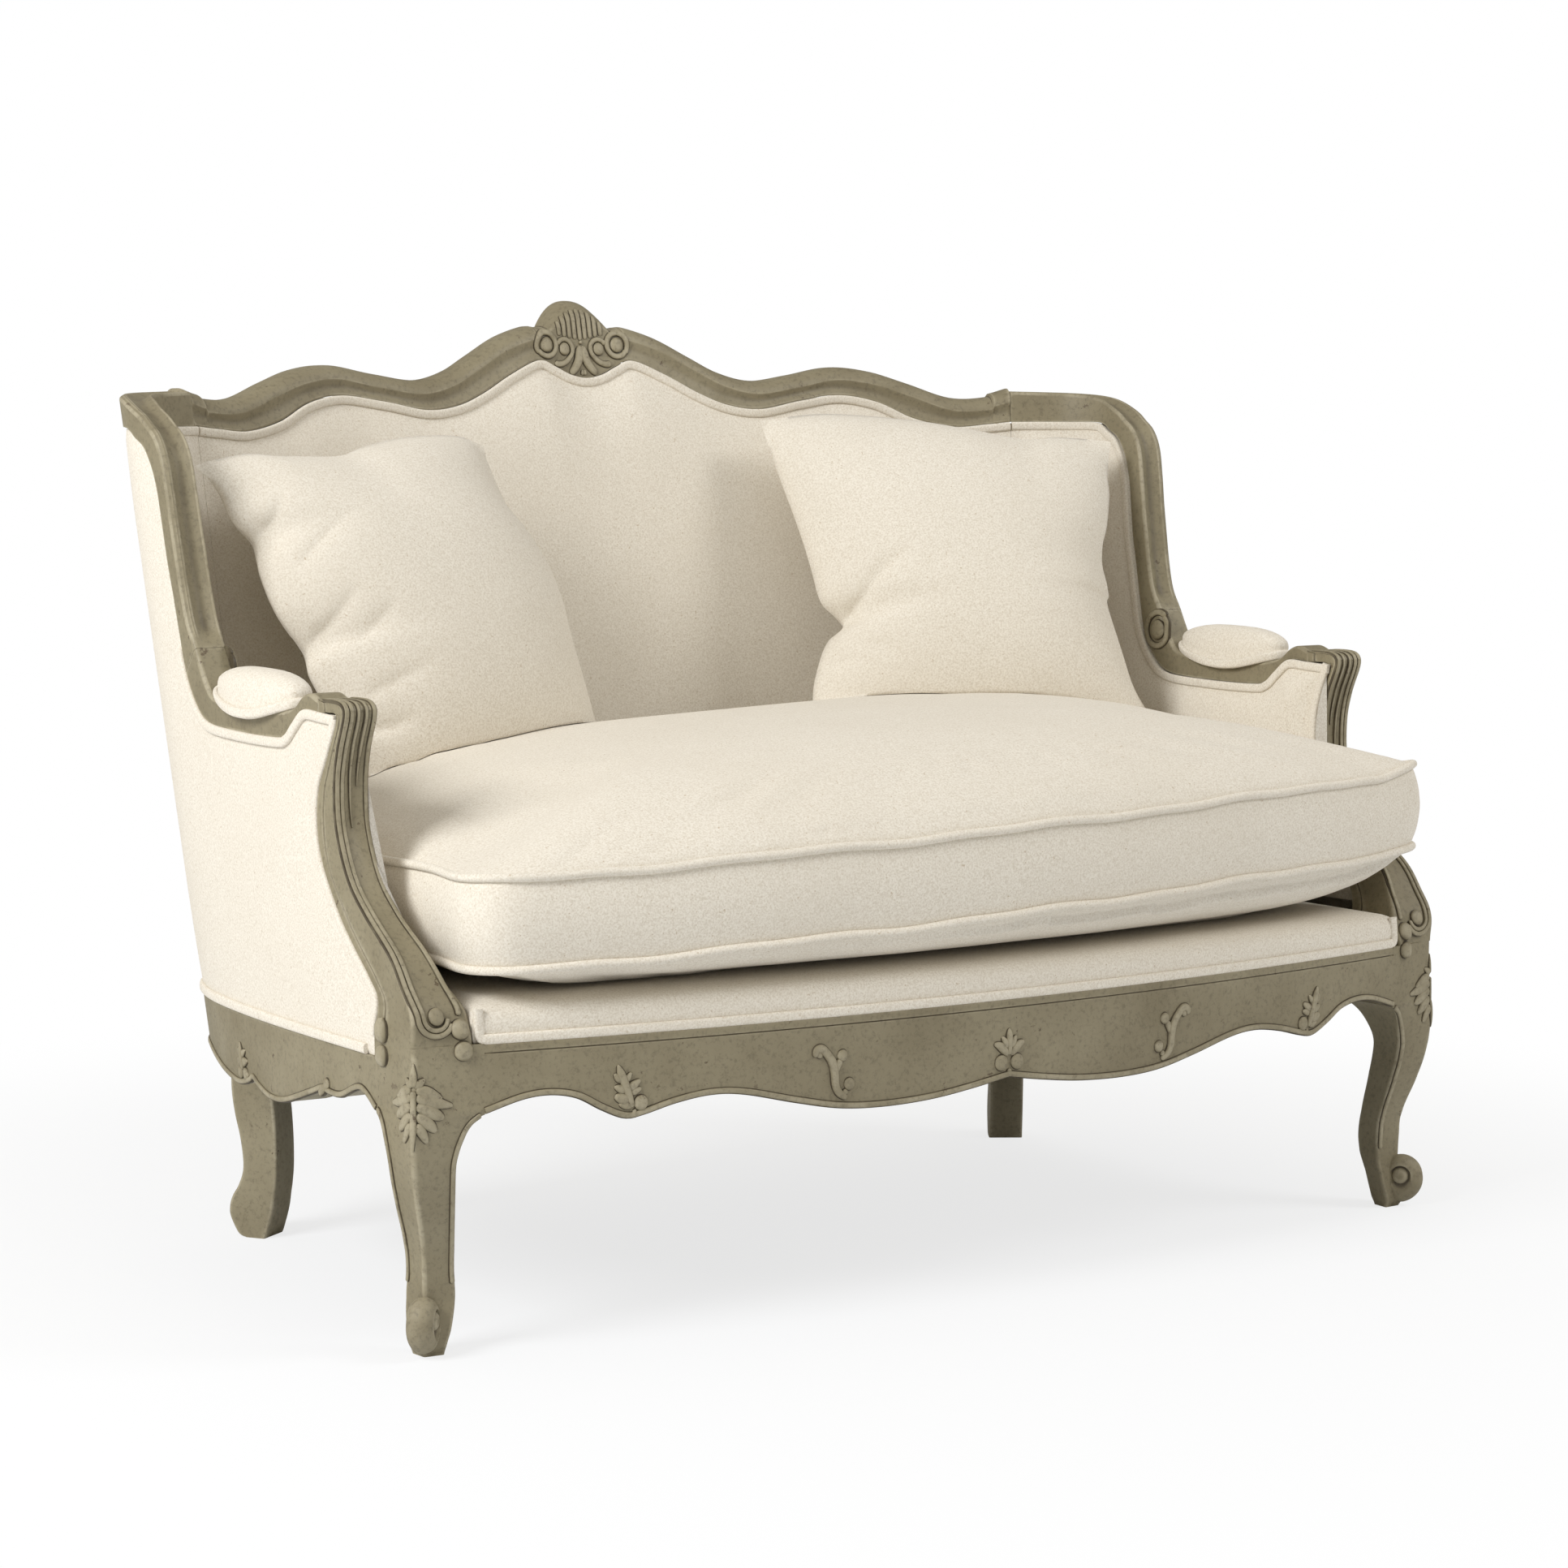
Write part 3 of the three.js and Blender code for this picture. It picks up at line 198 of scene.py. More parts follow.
def smooth_rows(rows, place, mirror=None):
    """Smooth values between the rows of a table. Mirror holds each column's sign before the first row."""
    place = np.asarray(place, float)
    last = len(rows) - 1
    index = np.clip(np.floor(place).astype(int), 0, last - 1)
    share = (place - index)[..., None]
    start, end = rows[index], rows[index + 1]
    lead = rows[np.maximum(index - 1, 0)]
    if mirror:
        lead = np.where((index == 0)[..., None], end * np.array(mirror), lead)
    tail = rows[np.minimum(index + 2, last)]
    bend = 2 * lead - 5 * start + 4 * end - tail
    twist = 3 * start - lead - 3 * end + tail
    return (2 * start + (end - lead) * share + bend * share ** 2 + twist * share ** 3) / 2


def eased(share):
    """A share from 0 to 1 that leaves and arrives without a corner."""
    return share * share * (3 - 2 * share)


def closer_at_ends(count):
    """Shares from 0 to 1 with smaller steps near both ends."""
    share = np.linspace(0, 1, count)
    return 0.5 * share + 0.25 * (1 - np.cos(np.pi * share))


def all_rows(rows, count):
    """Smooth values all the way down a table."""
    return smooth_rows(rows, np.linspace(0, len(rows) - 1, count))


def length_along(path):
    """The length of a path up to each of its places."""
    return np.concatenate([[0], np.cumsum(np.linalg.norm(np.diff(path, axis=0), axis=1))])


def at_lengths(path, length, along):
    """The places of a path, with whatever its rows hold, at other lengths along it."""
    return np.stack([np.interp(along, length, column) for column in path.T], 1)


def distance_to(face, outline, batch=64):
    """How far each place of a grid is from the nearest place of an outline."""
    distance = np.full(face.shape[:2], np.inf)
    for start in range(0, len(outline), batch):
        gap = np.linalg.norm(face[:, :, None] - outline[None, None, start:start + batch], axis=-1)
        distance = np.minimum(distance, gap.min(-1))
    return distance


def wall_outline(station, height):
    """Across and back of the wall's outer face, on the right half."""
    rows = smooth_rows(plan_shares, station, (-1, 1, -1, 1))
    share = (height - wall_base) / (ear_height - wall_base)
    across = rows[..., 0] * arm_half_width * (1 - share) + rows[..., 2] * wing_half_width * share
    back = rows[..., 1] * seat_depth * (1 - share) + rows[..., 3] * top_depth * share
    return across, back


def wall(station, height, depth):
    """A point of the wall. The three values may be arrays that fit each other."""
    station, height, depth = np.broadcast_arrays(
        *(np.asarray(values, float) for values in (station, height, depth)))
    side = np.where(station < 0, -1.0, 1.0)
    place = np.abs(station)
    nudge = 0.001
    across, back = wall_outline(place, height)
    near = wall_outline(np.maximum(place - nudge, 0), height)
    far = wall_outline(place + nudge, height)
    along_x, along_y = far[0] - near[0], far[1] - near[1]
    along_y = np.where(place < nudge, 0, along_y)
    length = np.hypot(along_x, along_y)
    along_x, along_y = along_x / length, along_y / length
    return np.stack([
        side * (across + along_y * depth),
        back - along_x * depth + settee_shift,
        height,
    ], -1)


def station_at(axis, value, height):
    """The station where the wall's outer face is so far across, or so far back."""
    value, height = np.broadcast_arrays(np.asarray(value, float), np.asarray(height, float))
    low = np.full(value.shape, 0.0 if axis == "x" else 3.0)
    high = np.full(value.shape, 6.0 if axis == "x" else len(plan_shares) - 1.0)
    halvings = 32
    for _ in range(halvings):
        middle = (low + high) / 2
        across, back = wall_outline(middle, height)
        beyond = across > value if axis == "x" else back < value
        high = np.where(beyond, middle, high)
        low = np.where(beyond, low, middle)
    return (low + high) / 2


def crest_station(across, height):
    """The station of a place on the back of the wall, negative on the left."""
    return station_at("x", np.abs(across), height) * np.sign(across)


def bow_back(across, inset=0.0):
    """How far back the bowed front of the seat is, in the settee's frame."""
    return bow_rise * bow_depth * (across / leg_block_half) ** 2 - bow_depth + inset + settee_shift


crest_places = smooth_rows(crest_shares, np.linspace(0, len(crest_shares) - 1, 1401), (-1, 1, 1))
crest_depth_unit = 40 * mm
arch_half_share = 0.0765
arch_power = 2.3
arch_end_share = 0.11


def crest_edges(across):
    """Top and cloth edge of the crest rail at places across. The crown is an arch on the rail's line."""
    share = np.abs(across) / ear_half_width
    rise = crown_height - ear_height
    line = np.interp(share, crest_places[:, 0], crest_places[:, 1])
    rail = np.interp(share, crest_places[:, 0], crest_places[:, 2]) * crest_depth_unit
    low = ear_height + line * rise - rail
    shoulder = crest_shares[2, 1]
    arch = 1 - (1 - shoulder) * (share / arch_half_share) ** arch_power
    top = np.maximum(np.where(share < arch_end_share, np.minimum(line, shoulder), line), arch)
    return ear_height + top * rise, low


ear_top, ear_low = crest_edges(ear_half_width)
ear_station = float(station_at("x", ear_half_width, ear_top))


def side_rows():
    """Outer and cloth edges from the ear down the wing and along the arm."""
    rows = [[ear_station, ear_top, ear_station, ear_low]]
    for shares, span in ((wing_shares, wing_span), (arm_shares, arm_step)):
        for out_back, out_rise, cloth_back, cloth_rise in shares:
            out_height = arm_height + out_rise * span
            cloth_height = arm_height + cloth_rise * span
            rows.append([
                float(station_at("y", out_back * seat_depth, out_height)), out_height,
                float(station_at("y", cloth_back * seat_depth, cloth_height)), cloth_height,
            ])
    return np.array(rows)


side_table = side_rows()
wing_end = len(wing_shares)
arm_end = len(side_table) - 1
post_span = arm_height - seat_rail_top - join_gap


# Making and finishing pieces

merge_reach = 2e-6
wear_and_shade_reach = 3.2 * mm
wear_and_shade_passes = 2


def deselect():
    if bpy.context.mode != "OBJECT":
        bpy.ops.object.mode_set(mode="OBJECT")
    bpy.ops.object.select_all(action="DESELECT")


def pick(piece):
    deselect()
    piece.select_set(True)
    bpy.context.view_layer.objects.active = piece


def in_edit_mode(*calls, kind="VERT"):
    """Runs mesh operators on the active piece. A call is an operator's name with its values."""
    bpy.ops.object.mode_set(mode="EDIT")
    bpy.ops.mesh.select_mode(type=kind)
    for name, values in calls:
        getattr(bpy.ops.mesh, name)(**values)
    bpy.ops.object.mode_set(mode="OBJECT")


select_all = ("select_all", dict(action="SELECT"))


def bent_grid(name, points, angle=40.0, breaks=(), wear_and_shade=None):
    """A grid primitive laid over rows of points. Edges that meet are merged and open ends are filled.
    A break is a row after which the next one begins another lump. Wear and shade marks are above zero in
    hollows, for dirt with painted shade, and below zero on ridges, for rubbed paint."""
    rows, columns = points.shape[:2]
    deselect()
    bpy.ops.mesh.primitive_grid_add(x_subdivisions=columns - 1, y_subdivisions=rows - 1, size=1)
    piece = bpy.context.object
    piece.name = name
    piece.data.name = name
    piece.data.vertices.foreach_set("co", points.astype(np.float32).ravel())
    if wear_and_shade is not None:
        mark = piece.data.attributes.new("wear_and_shade", "FLOAT", "POINT")
        mark.data.foreach_set("value", wear_and_shade.astype(np.float32).ravel())
    if len(breaks):
        corners = np.empty(len(piece.data.loops), np.int32)
        piece.data.loops.foreach_get("vertex_index", corners)
        first_row = corners.reshape(-1, 4).min(1) // columns
        in_edit_mode(("select_all", dict(action="DESELECT")), kind="FACE")
        piece.data.polygons.foreach_set("select", np.isin(first_row, breaks))
        in_edit_mode(("delete", dict(type="FACE")), kind="FACE")
    in_edit_mode(select_all, ("remove_doubles", dict(threshold=merge_reach)), ("fill_holes", dict(sides=0)),
                 select_all, ("normals_make_consistent", dict(inside=False)))
    bpy.ops.object.shade_smooth_by_angle(angle=math.radians(angle))
    return piece


def closed(points):
    """The points with their first column again at the end."""
    return np.concatenate([points, points[:, :1]], 1)


def mirrored(piece, name):
    """The left piece of a pair, with its own mesh."""
    other = piece.copy()
    other.data = piece.data.copy()
    other.name = name
    other.data.name = name
    bpy.context.scene.collection.objects.link(other)
    corners = np.empty(len(other.data.vertices) * 3, np.float32)
    other.data.vertices.foreach_get("co", corners)
    corners[::3] *= -1
    other.data.vertices.foreach_set("co", corners)
    pick(other)
    in_edit_mode(select_all, ("flip_normals", {}))
    return other


def places_of(mesh):
    """The vertices of a mesh, one row each."""
    flat = np.empty(len(mesh.vertices) * 3, np.float32)
    mesh.vertices.foreach_get("co", flat)
    return flat.reshape(-1, 3).astype(float)


def seam_fade(place):
    """Nothing within 2 mm of where two pieces of the frame meet flush, one from 10 mm on."""
    beside_block = place[:, 2] < seat_rail_top + 5 * mm
    seams = np.stack([
        np.abs(place[:, 2] - seat_rail_top),
        np.where(beside_block, np.abs(np.abs(place[:, 0]) - leg_block_half), 1),
        np.where(beside_block, np.abs(place[:, 1] - settee_shift - leg_block_depth), 1)])
    return np.clip((seams.min(0) - 2 * mm) / (8 * mm), 0, 1)


def mark_wear_and_shade(piece):
    """Marks hollows above zero, where the paint holds dirt and is darkened as painted shade, and ridges below
    it, where the paint is rubbed.
    """
    mesh = piece.data
    place = places_of(mesh)
    normal = np.empty(len(place) * 3, np.float32)
    mesh.vertices.foreach_get("normal", normal)
    ends = np.empty(len(mesh.edges) * 2, np.int32)
    mesh.edges.foreach_get("vertices", ends)
    first, second = ends[::2], ends[1::2]
    near = np.maximum(np.bincount(ends, minlength=len(place)), 1)
    step = place[second] - place[first]
    pull = step / np.maximum((step ** 2).sum(1, keepdims=True), (0.4 * mm) ** 2)

    def summed(to_first, to_second):
        return np.bincount(first, to_first, len(place)) + np.bincount(second, to_second, len(place))

    bend = np.stack([summed(along, -along) for along in pull.T], 1)
    # Hollows above zero get dirt and painted shade in the paint, ridges below zero get rubbed paint
    hollow = np.clip((bend * normal.reshape(-1, 3)).sum(1) * wear_and_shade_reach, -1, 1)
    for _ in range(wear_and_shade_passes):
        hollow = (hollow + summed(hollow[second], hollow[first]) / near) / 2
    mark = mesh.attributes.new("wear_and_shade", "FLOAT", "POINT")
    mark.data.foreach_set("value", (hollow * seam_fade(place)).astype(np.float32))


def dress(piece, slot, body="frame", stands_for=()):
    """Gives a piece its material, slot and body, and hides the solids that it stands for."""
    if slot == "painted_wood" and "wear_and_shade" not in piece.data.attributes:
        mark_wear_and_shade(piece)
    piece.data.materials.clear()
    piece.data.materials.append(finish_of(slot))
    if stands_for:
        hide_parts(*stands_for)
    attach(piece, body)
    return piece


def pair(right, slot, stands_for=None):
    """Dresses a right piece and its mirrored left one."""
    left = mirrored(right, right.name.replace("_right", "_left"))
    for piece, side in ((right, "right"), (left, "left")):
        nodes = (f"{stands_for}_{side}",) if stands_for else ()
        dress(piece, slot, stands_for=nodes)


def unit(vectors):
    return vectors / np.maximum(np.linalg.norm(vectors, axis=-1, keepdims=True), 1e-12)


def swept(path, normals, section):
    """Rings of a section, in across and outwards, carried along a path."""
    tangent = unit(np.gradient(path, axis=0))
    across = unit(np.cross(tangent, normals))
    outward = unit(np.cross(across, tangent))
    return path[:, None] + across[:, None] * section[None, :, :1] + outward[:, None] * section[None, :, 1:]


def swept_ring(path, normals, section):
    """Rings of a section along a path whose last place is its first."""
    path, normals = (np.concatenate([rows[-2:-1], rows, rows[1:2]]) for rows in (path, normals))
    rings = swept(path, normals, section)[1:-1]
    rings[-1] = rings[0]
    return rings


def smooth_line(rows, count=None, step=None):
    """A smooth line through the rows, by its first two columns, and the length along it. It has a count of
    even steps, or steps of about one size that are smaller near its ends."""
    rows = np.asarray(rows, float)
    fine = all_rows(rows, 12 * len(rows))
    length = length_along(fine[:, :2])
    share = closer_at_ends(int(np.clip(length[-1] / step, 9, 700))) if step else np.linspace(0, 1, count)
    along = share * length[-1]
    return at_lengths(fine, length, along), along


# The section of a carved rib, in mm: a sunk edge, a narrow margin marked dark for dirt and painted crevice
# shade, then a steep side and a flat top
rib_sunk = -2.2
rib_margin_rise = 0.12
stroke_step = 1.4
rib_turn = np.linspace(math.pi, 0, 11)
rib_out = np.sign(np.cos(rib_turn)) * np.abs(np.cos(rib_turn)) ** 0.6
rib_up = np.abs(np.sin(rib_turn)) ** 0.6
# Across the rib: the sunk edge and margin get full marks for dirt and painted shade, and the top gets marks
# below zero for rubbed paint
rib_wear_and_shade = np.concatenate([[1.0, 1.0, 1.0], 1.0 - 1.5 * rib_up, [1.0, 1.0, 1.0]])


def rib_rings(line, radius, rise, lift):
    """Rings of a rib, from places and a function that lifts offsets out of the surface there."""
    margin = np.minimum(0.8, 0.45 * radius)
    edge = np.stack([radius + 1.5 * margin, radius + margin, radius + 0.1], 1)
    out = np.concatenate([-edge, radius[:, None] * rib_out, edge[:, ::-1]], 1)
    foot = np.broadcast_to([rib_sunk, rib_margin_rise, rib_margin_rise], (len(line), 3))
    up = np.concatenate([foot, rib_margin_rise + rise[:, None] * rib_up, foot[:, ::-1]], 1)
    return lift(out, up), np.broadcast_to(rib_wear_and_shade, out.shape)


def stroke(rows, place):
    """A carved rib, leaf lobe or boss on a surface. The rows hold two places, a radius and a height, in mm."""
    rows = np.atleast_2d(np.array(rows, float))
    if len(rows) == 1:
        boss_share = 0.98
        reach = [rows[0, 2] * boss_share, 0, 0, 0]
        rows = np.concatenate([rows - reach, rows + reach])
    line, along = smooth_line(rows, step=stroke_step)
    near = np.minimum(along, along[-1] - along)
    taper = np.sqrt(1 - (1 - np.clip(near / np.maximum(line[:, 2], 0.1), 0, 1)) ** 2)
    tangent = unit(np.gradient(line[:, :2], axis=0))

    def lift(out, up):
        u = line[:, :1] - tangent[:, 1:] * out
        v = line[:, 1:2] + tangent[:, :1] * out
        nudge = 0.4
        side = place(u + nudge, v) - place(u - nudge, v)
        rise = place(u, v + nudge) - place(u, v - nudge)
        return place(u, v) + unit(np.cross(side, rise)) * up[..., None] * mm
    return rib_rings(line, line[:, 2] * taper, line[:, 3] * taper, lift)


def edge_bead(path, normal):
    """The carved bead along the lower edge of a rail."""
    radius, rise = 2.9, 2.2
    across = unit(np.cross(unit(np.gradient(path, axis=0)), normal))

    def lift(out, up):
        return path[:, None] + across[:, None] * out[..., None] * mm + normal[:, None] * up[..., None] * mm
    return rib_rings(path, np.full(len(path), radius), np.full(len(path), rise), lift)


def carving(name, lumps):
    """One piece of many carved lumps."""
    rings = np.concatenate([places for places, _ in lumps])
    wear_and_shade = np.concatenate([marks for _, marks in lumps])
    breaks = np.cumsum([len(places) for places, _ in lumps])[:-1] - 1
    return bent_grid(name, closed(rings), 50, breaks, closed(wear_and_shade))


def carved(name, strokes, place):
    """One piece of the strokes on a surface."""
    return carving(name, [stroke(rows, place) for rows in strokes])


def flipped(strokes):
    """The strokes and their mirror images about zero."""
    return strokes + [[(-u, *rest) for u, *rest in rows] for rows in strokes]


# Finishes

class ShaderTree:
    """Adds nodes to the tree of a material or a world. Its methods return what the next node is linked to."""

    def __init__(self, tree):
        self.nodes = tree.nodes
        self.link = tree.links.new

    def node(self, kind, **values):
        """A new node with values for its inputs and its settings."""
        made = self.nodes.new(kind)
        for key, value in values.items():
            if key in made.inputs:
                made.inputs[key].default_value = value
            else:
                setattr(made, key, value)
        return made

    def place(self):
        return self.node("ShaderNodeTexCoord").outputs["Object"]

    def ramp(self, source, low, high, start=0.0, end=1.0):
        """A value that goes smoothly from start to end while its source goes from low to high."""
        span = self.node("ShaderNodeMapRange", interpolation_type="SMOOTHSTEP")
        for key, value in (("From Min", low), ("From Max", high), ("To Min", start), ("To Max", end)):
            span.inputs[key].default_value = value
        self.link(source, span.inputs["Value"])
        return span.outputs["Result"]

    def times(self, first, second):
        """The product of an output and another or a number."""
        product = self.node("ShaderNodeMath", operation="MULTIPLY")
        self.link(first, product.inputs[0])
        if isinstance(second, float):
            product.inputs[1].default_value = second
        else:
            self.link(second, product.inputs[1])
        return product.outputs[0]

    def tinted(self, below, colour, share):
        """The colour below, with another laid over it by a share."""
        mix = self.node("ShaderNodeMix", data_type="RGBA")
        self.link(share, mix.inputs["Factor"])
        self.link(below, mix.inputs[6])
        mix.inputs[7].default_value = (*colour, 1)
        return mix.outputs[2]

    def cloud(self, place, scale, detail=3.0, roughness=0.55):
        noise = self.node("ShaderNodeTexNoise", Scale=scale, Detail=detail, Roughness=roughness)
        self.link(place, noise.inputs["Vector"])
        return noise.outputs["Fac"]

    def two_colours(self, source, low, high, first, second):
        """The first colour where the source is low, going over to the second where it is high."""
        ramp = self.node("ShaderNodeValToRGB")
        for element, position, colour in zip(ramp.color_ramp.elements, (low, high), (first, second)):
            element.position = position
            element.color = (*colour, 1)
        self.link(source, ramp.inputs["Fac"])
        return ramp.outputs["Color"]

    def raised(self, shader, source, strength, distance):
        """Bumps on a shader's surface."""
        bump = self.node("ShaderNodeBump", Strength=strength, Distance=distance)
        self.link(source, bump.inputs["Height"])
        self.link(bump.outputs["Normal"], shader.inputs["Normal"])

    def over_camera(self, seen, other):
        """What the camera sees of one shader, and the other shader for all other rays."""
        ray = self.node("ShaderNodeLightPath")
        mix = self.node("ShaderNodeMixShader")
        self.link(ray.outputs["Is Camera Ray"], mix.inputs["Fac"])
        self.link(other, mix.inputs[1])
        self.link(seen, mix.inputs[2])
        return mix.outputs[0]


def new_material(name, roughness, **values):
    """A material, its shader and its tree. The values are inputs of the shader, with spaces as underscores."""
    material = bpy.data.materials.new(name)
    material.use_nodes = True
    shader = material.node_tree.nodes["Principled BSDF"]
    for key, value in dict(Roughness=roughness, **values).items():
        shader.inputs[key.replace("_", " ")].default_value = value
    return material, shader, ShaderTree(material.node_tree)


def painted_wood_finish(colours):
    """Rubbed paint: lighter on ridges, dirt and painted shade darkening the hollows, with specks, chips and a
    fine grain.
    """
    material, shader, tree = new_material("painted_wood", 0.58)
    place = tree.place()
    wear_and_shade = tree.node("ShaderNodeAttribute", attribute_name="wear_and_shade").outputs["Fac"]
    patches = tree.cloud(place, 7.0, 5.0, 0.6)
    grain = tree.cloud(place, 190.0, 4.0, 0.7)
    colour = tree.two_colours(patches, 0.34, 0.66, tuple(colours.paint_shade), tuple(colours.paint))
    rubbed = tree.times(tree.ramp(wear_and_shade, -0.1, -0.6), tree.ramp(tree.cloud(place, 26.0), 0.36, 0.6, 0.2, 0.75))
    colour = tree.tinted(colour, colours.rubbed, rubbed)
    mottle = tree.ramp(grain, 0.46, 0.72, 0.0, 0.38)
    colour = tree.tinted(colour, colours.grime_and_shade, mottle)
    # Dirt and painted shade: hollows and carving margins are darkened with the grime colour, as if in shade
    dirt_and_shade = tree.times(tree.ramp(wear_and_shade, 0.06, 0.6), tree.ramp(tree.cloud(place, 48.0), 0.3, 0.6, 0.65, 1.0))
    colour = tree.tinted(colour, colours.grime_and_shade, dirt_and_shade)
    chips = tree.ramp(tree.cloud(place, 75.0, 4.0, 0.65), 0.65, 0.7)
    chips = tree.times(chips, tree.ramp(patches, 0.42, 0.58))
    colour = tree.tinted(colour, colours.chips, tree.times(chips, 0.85))
    tree.link(colour, shader.inputs["Base Color"])
    tree.link(tree.ramp(patches, 0.3, 0.7, 0.66, 0.5), shader.inputs["Roughness"])
    tree.raised(shader, grain, 0.25, 1.2 * mm)
    return material


def linen_finish(colours):
    """Plain linen: a fine uneven weave with a few brown flecks of flax."""
    material, shader, tree = new_material("linen", 0.95, Specular_IOR_Level=0.2, Sheen_Weight=0.12)
    place = tree.place()
    threads = tree.cloud(place, 480.0, 3.0, 0.7)
    colour = tree.two_colours(threads, 0.36, 0.6, tuple(colours.linen_shade), tuple(colours.linen))
    tone = tree.ramp(tree.cloud(place, 5.0, 3.0), 0.35, 0.7, 0.0, 0.2)
    colour = tree.tinted(colour, colours.linen_shade, tone)
    flecks = tree.ramp(tree.cloud(place, 300.0, 1.0), 0.72, 0.76, 0.0, 0.5)
    colour = tree.tinted(colour, colours.flecks, flecks)
    tree.link(colour, shader.inputs["Base Color"])
    tree.raised(shader, threads, 0.18, 0.8 * mm)
    return material


def plain_finish(name, light, dark, scale, roughness, metallic=0.0):
    """A cloudy finish of two close colours."""
    material, shader, tree = new_material(name, roughness, Metallic=metallic)
    cloud = tree.cloud(tree.place(), scale, 4.0, 0.6)
    tree.link(tree.two_colours(cloud, 0.35, 0.65, dark, light), shader.inputs["Base Color"])
    return material


plain_finishes = {
    "bare_wood": dict(light=(0.46, 0.3, 0.16), dark=(0.3, 0.18, 0.09), scale=60.0, roughness=0.75),
    "spring_steel": dict(light=(0.3, 0.3, 0.3), dark=(0.16, 0.15, 0.14), scale=90.0, roughness=0.42,
                         metallic=0.9),
    "jute": dict(light=(0.42, 0.29, 0.15), dark=(0.27, 0.18, 0.09), scale=400.0, roughness=0.95),
    "dust_cloth": dict(light=(0.02, 0.02, 0.018), dark=(0.01, 0.01, 0.01), scale=500.0, roughness=0.95),
}
finishes = {}


def finish_of(name):
    """The material of a finish, made when it is first asked for."""
    if name not in finishes:
        if name in plain_finishes:
            finishes[name] = plain_finish(name, **plain_finishes[name])
        else:
            maker = painted_wood_finish if name == "painted_wood" else linen_finish
            finishes[name] = maker(bpy.context.scene.settee_colours)
    return finishes[name]


# Sections of the show wood

arris = 4 * mm


def rounded_edge(depth, width):
    """How far the rounded corners of a face fall back at depths across it."""
    fall = 0
    for inward in (depth, width - depth):
        fall += arris - np.sqrt(arris ** 2 - np.clip(arris - inward, 0, arris) ** 2)
    return fall


def bar_points(outer, cloth, width, moulding, groove=0.0):
    """Rings round a bar: up its outer side, over its moulded face and down its inner side."""
    reach = np.linalg.norm(wall(*outer.T, 0) - wall(*cloth.T, 0), axis=-1)
    face_steps, line_height, line_half = 44, 13 * mm, 1.5 * mm
    depth = width[:, None] * closer_at_ends(face_steps)
    inset = moulding(depth, width[:, None])
    full = np.maximum(reach - inset.max(1), 0.3 * mm)[:, None]
    line = np.minimum(line_height, 0.5 * full)
    near = np.array([-1.8, -0.9, -0.4, 0, 0.4, 0.9, 1.8]) * mm
    above = line + near[-1]
    up = np.concatenate([np.linspace(0, 1, 5)[:-1] * (line + near[0]), line + near,
                         above + np.linspace(0, 1, 9)[1:] * (full - above)], 1)
    up = np.clip(up, 0, full)
    narrow = np.clip(reach[:, None] / (20 * mm), 0, 1)
    sunk = groove * np.maximum(1 - (np.abs(up - line) / line_half) ** 2, 0) * narrow
    top_in = reach[:, None] - up
    insets = np.concatenate([top_in, inset, top_in[:, ::-1]], 1)
    depths = np.concatenate([sunk, depth, width[:, None] - sunk[:, ::-1]], 1)
    share = 1 - np.clip(insets / np.maximum(reach, 1e-5)[:, None], 0, 1)
    station = cloth[:, :1] + (outer[:, :1] - cloth[:, :1]) * share
    height = cloth[:, 1:] + (outer[:, 1:] - cloth[:, 1:]) * share
    return closed(wall(station, height, depths))


def wing_moulding(depth, width, fade):
    """A narrow bead by the outer edge and one broad cove. The fade is how much of them each row has."""
    share = depth / width
    cove_start, cove_end, cove_depth = 0.2, 0.96, 6 * mm
    bead_middle, bead_half, bead_rise = 0.18, 0.035, 0.8 * mm
    cove = cove_depth * np.sin(np.pi * np.clip((share - cove_start) / (cove_end - cove_start), 0, 1)) ** 1.3
    fall = 1.2 * mm * np.clip((0.14 - share) / 0.07, 0, 1)
    ridge = bead_rise * np.exp(-((share - bead_middle) / bead_half) ** 2)
    return rounded_edge(depth, width) + fade[:, None] * (cove + fall - ridge)


def side_edges(start, end, steps):
    rows = smooth_rows(side_table, np.linspace(start, end, steps))
    return rows[:, :2], rows[:, 2:]


class settee_sizes(bpy.types.PropertyGroup):
    """Sizes of the settee's trim that can be changed"""
    welt_width: bpy.props.FloatProperty(
        name="Welt width", description="Width of the welts where cloth meets wood",
        default=0.0105, min=0.004, max=0.02, unit="LENGTH")
    welt_height: bpy.props.FloatProperty(
        name="Welt height", description="How far the welts stand out of the cloth",
        default=0.0034, min=0.001, max=0.01, unit="LENGTH")
    piping_radius: bpy.props.FloatProperty(
        name="Piping radius", description="Radius of the seat cushion's piping",
        default=0.0046, min=0.001, max=0.01, unit="LENGTH")


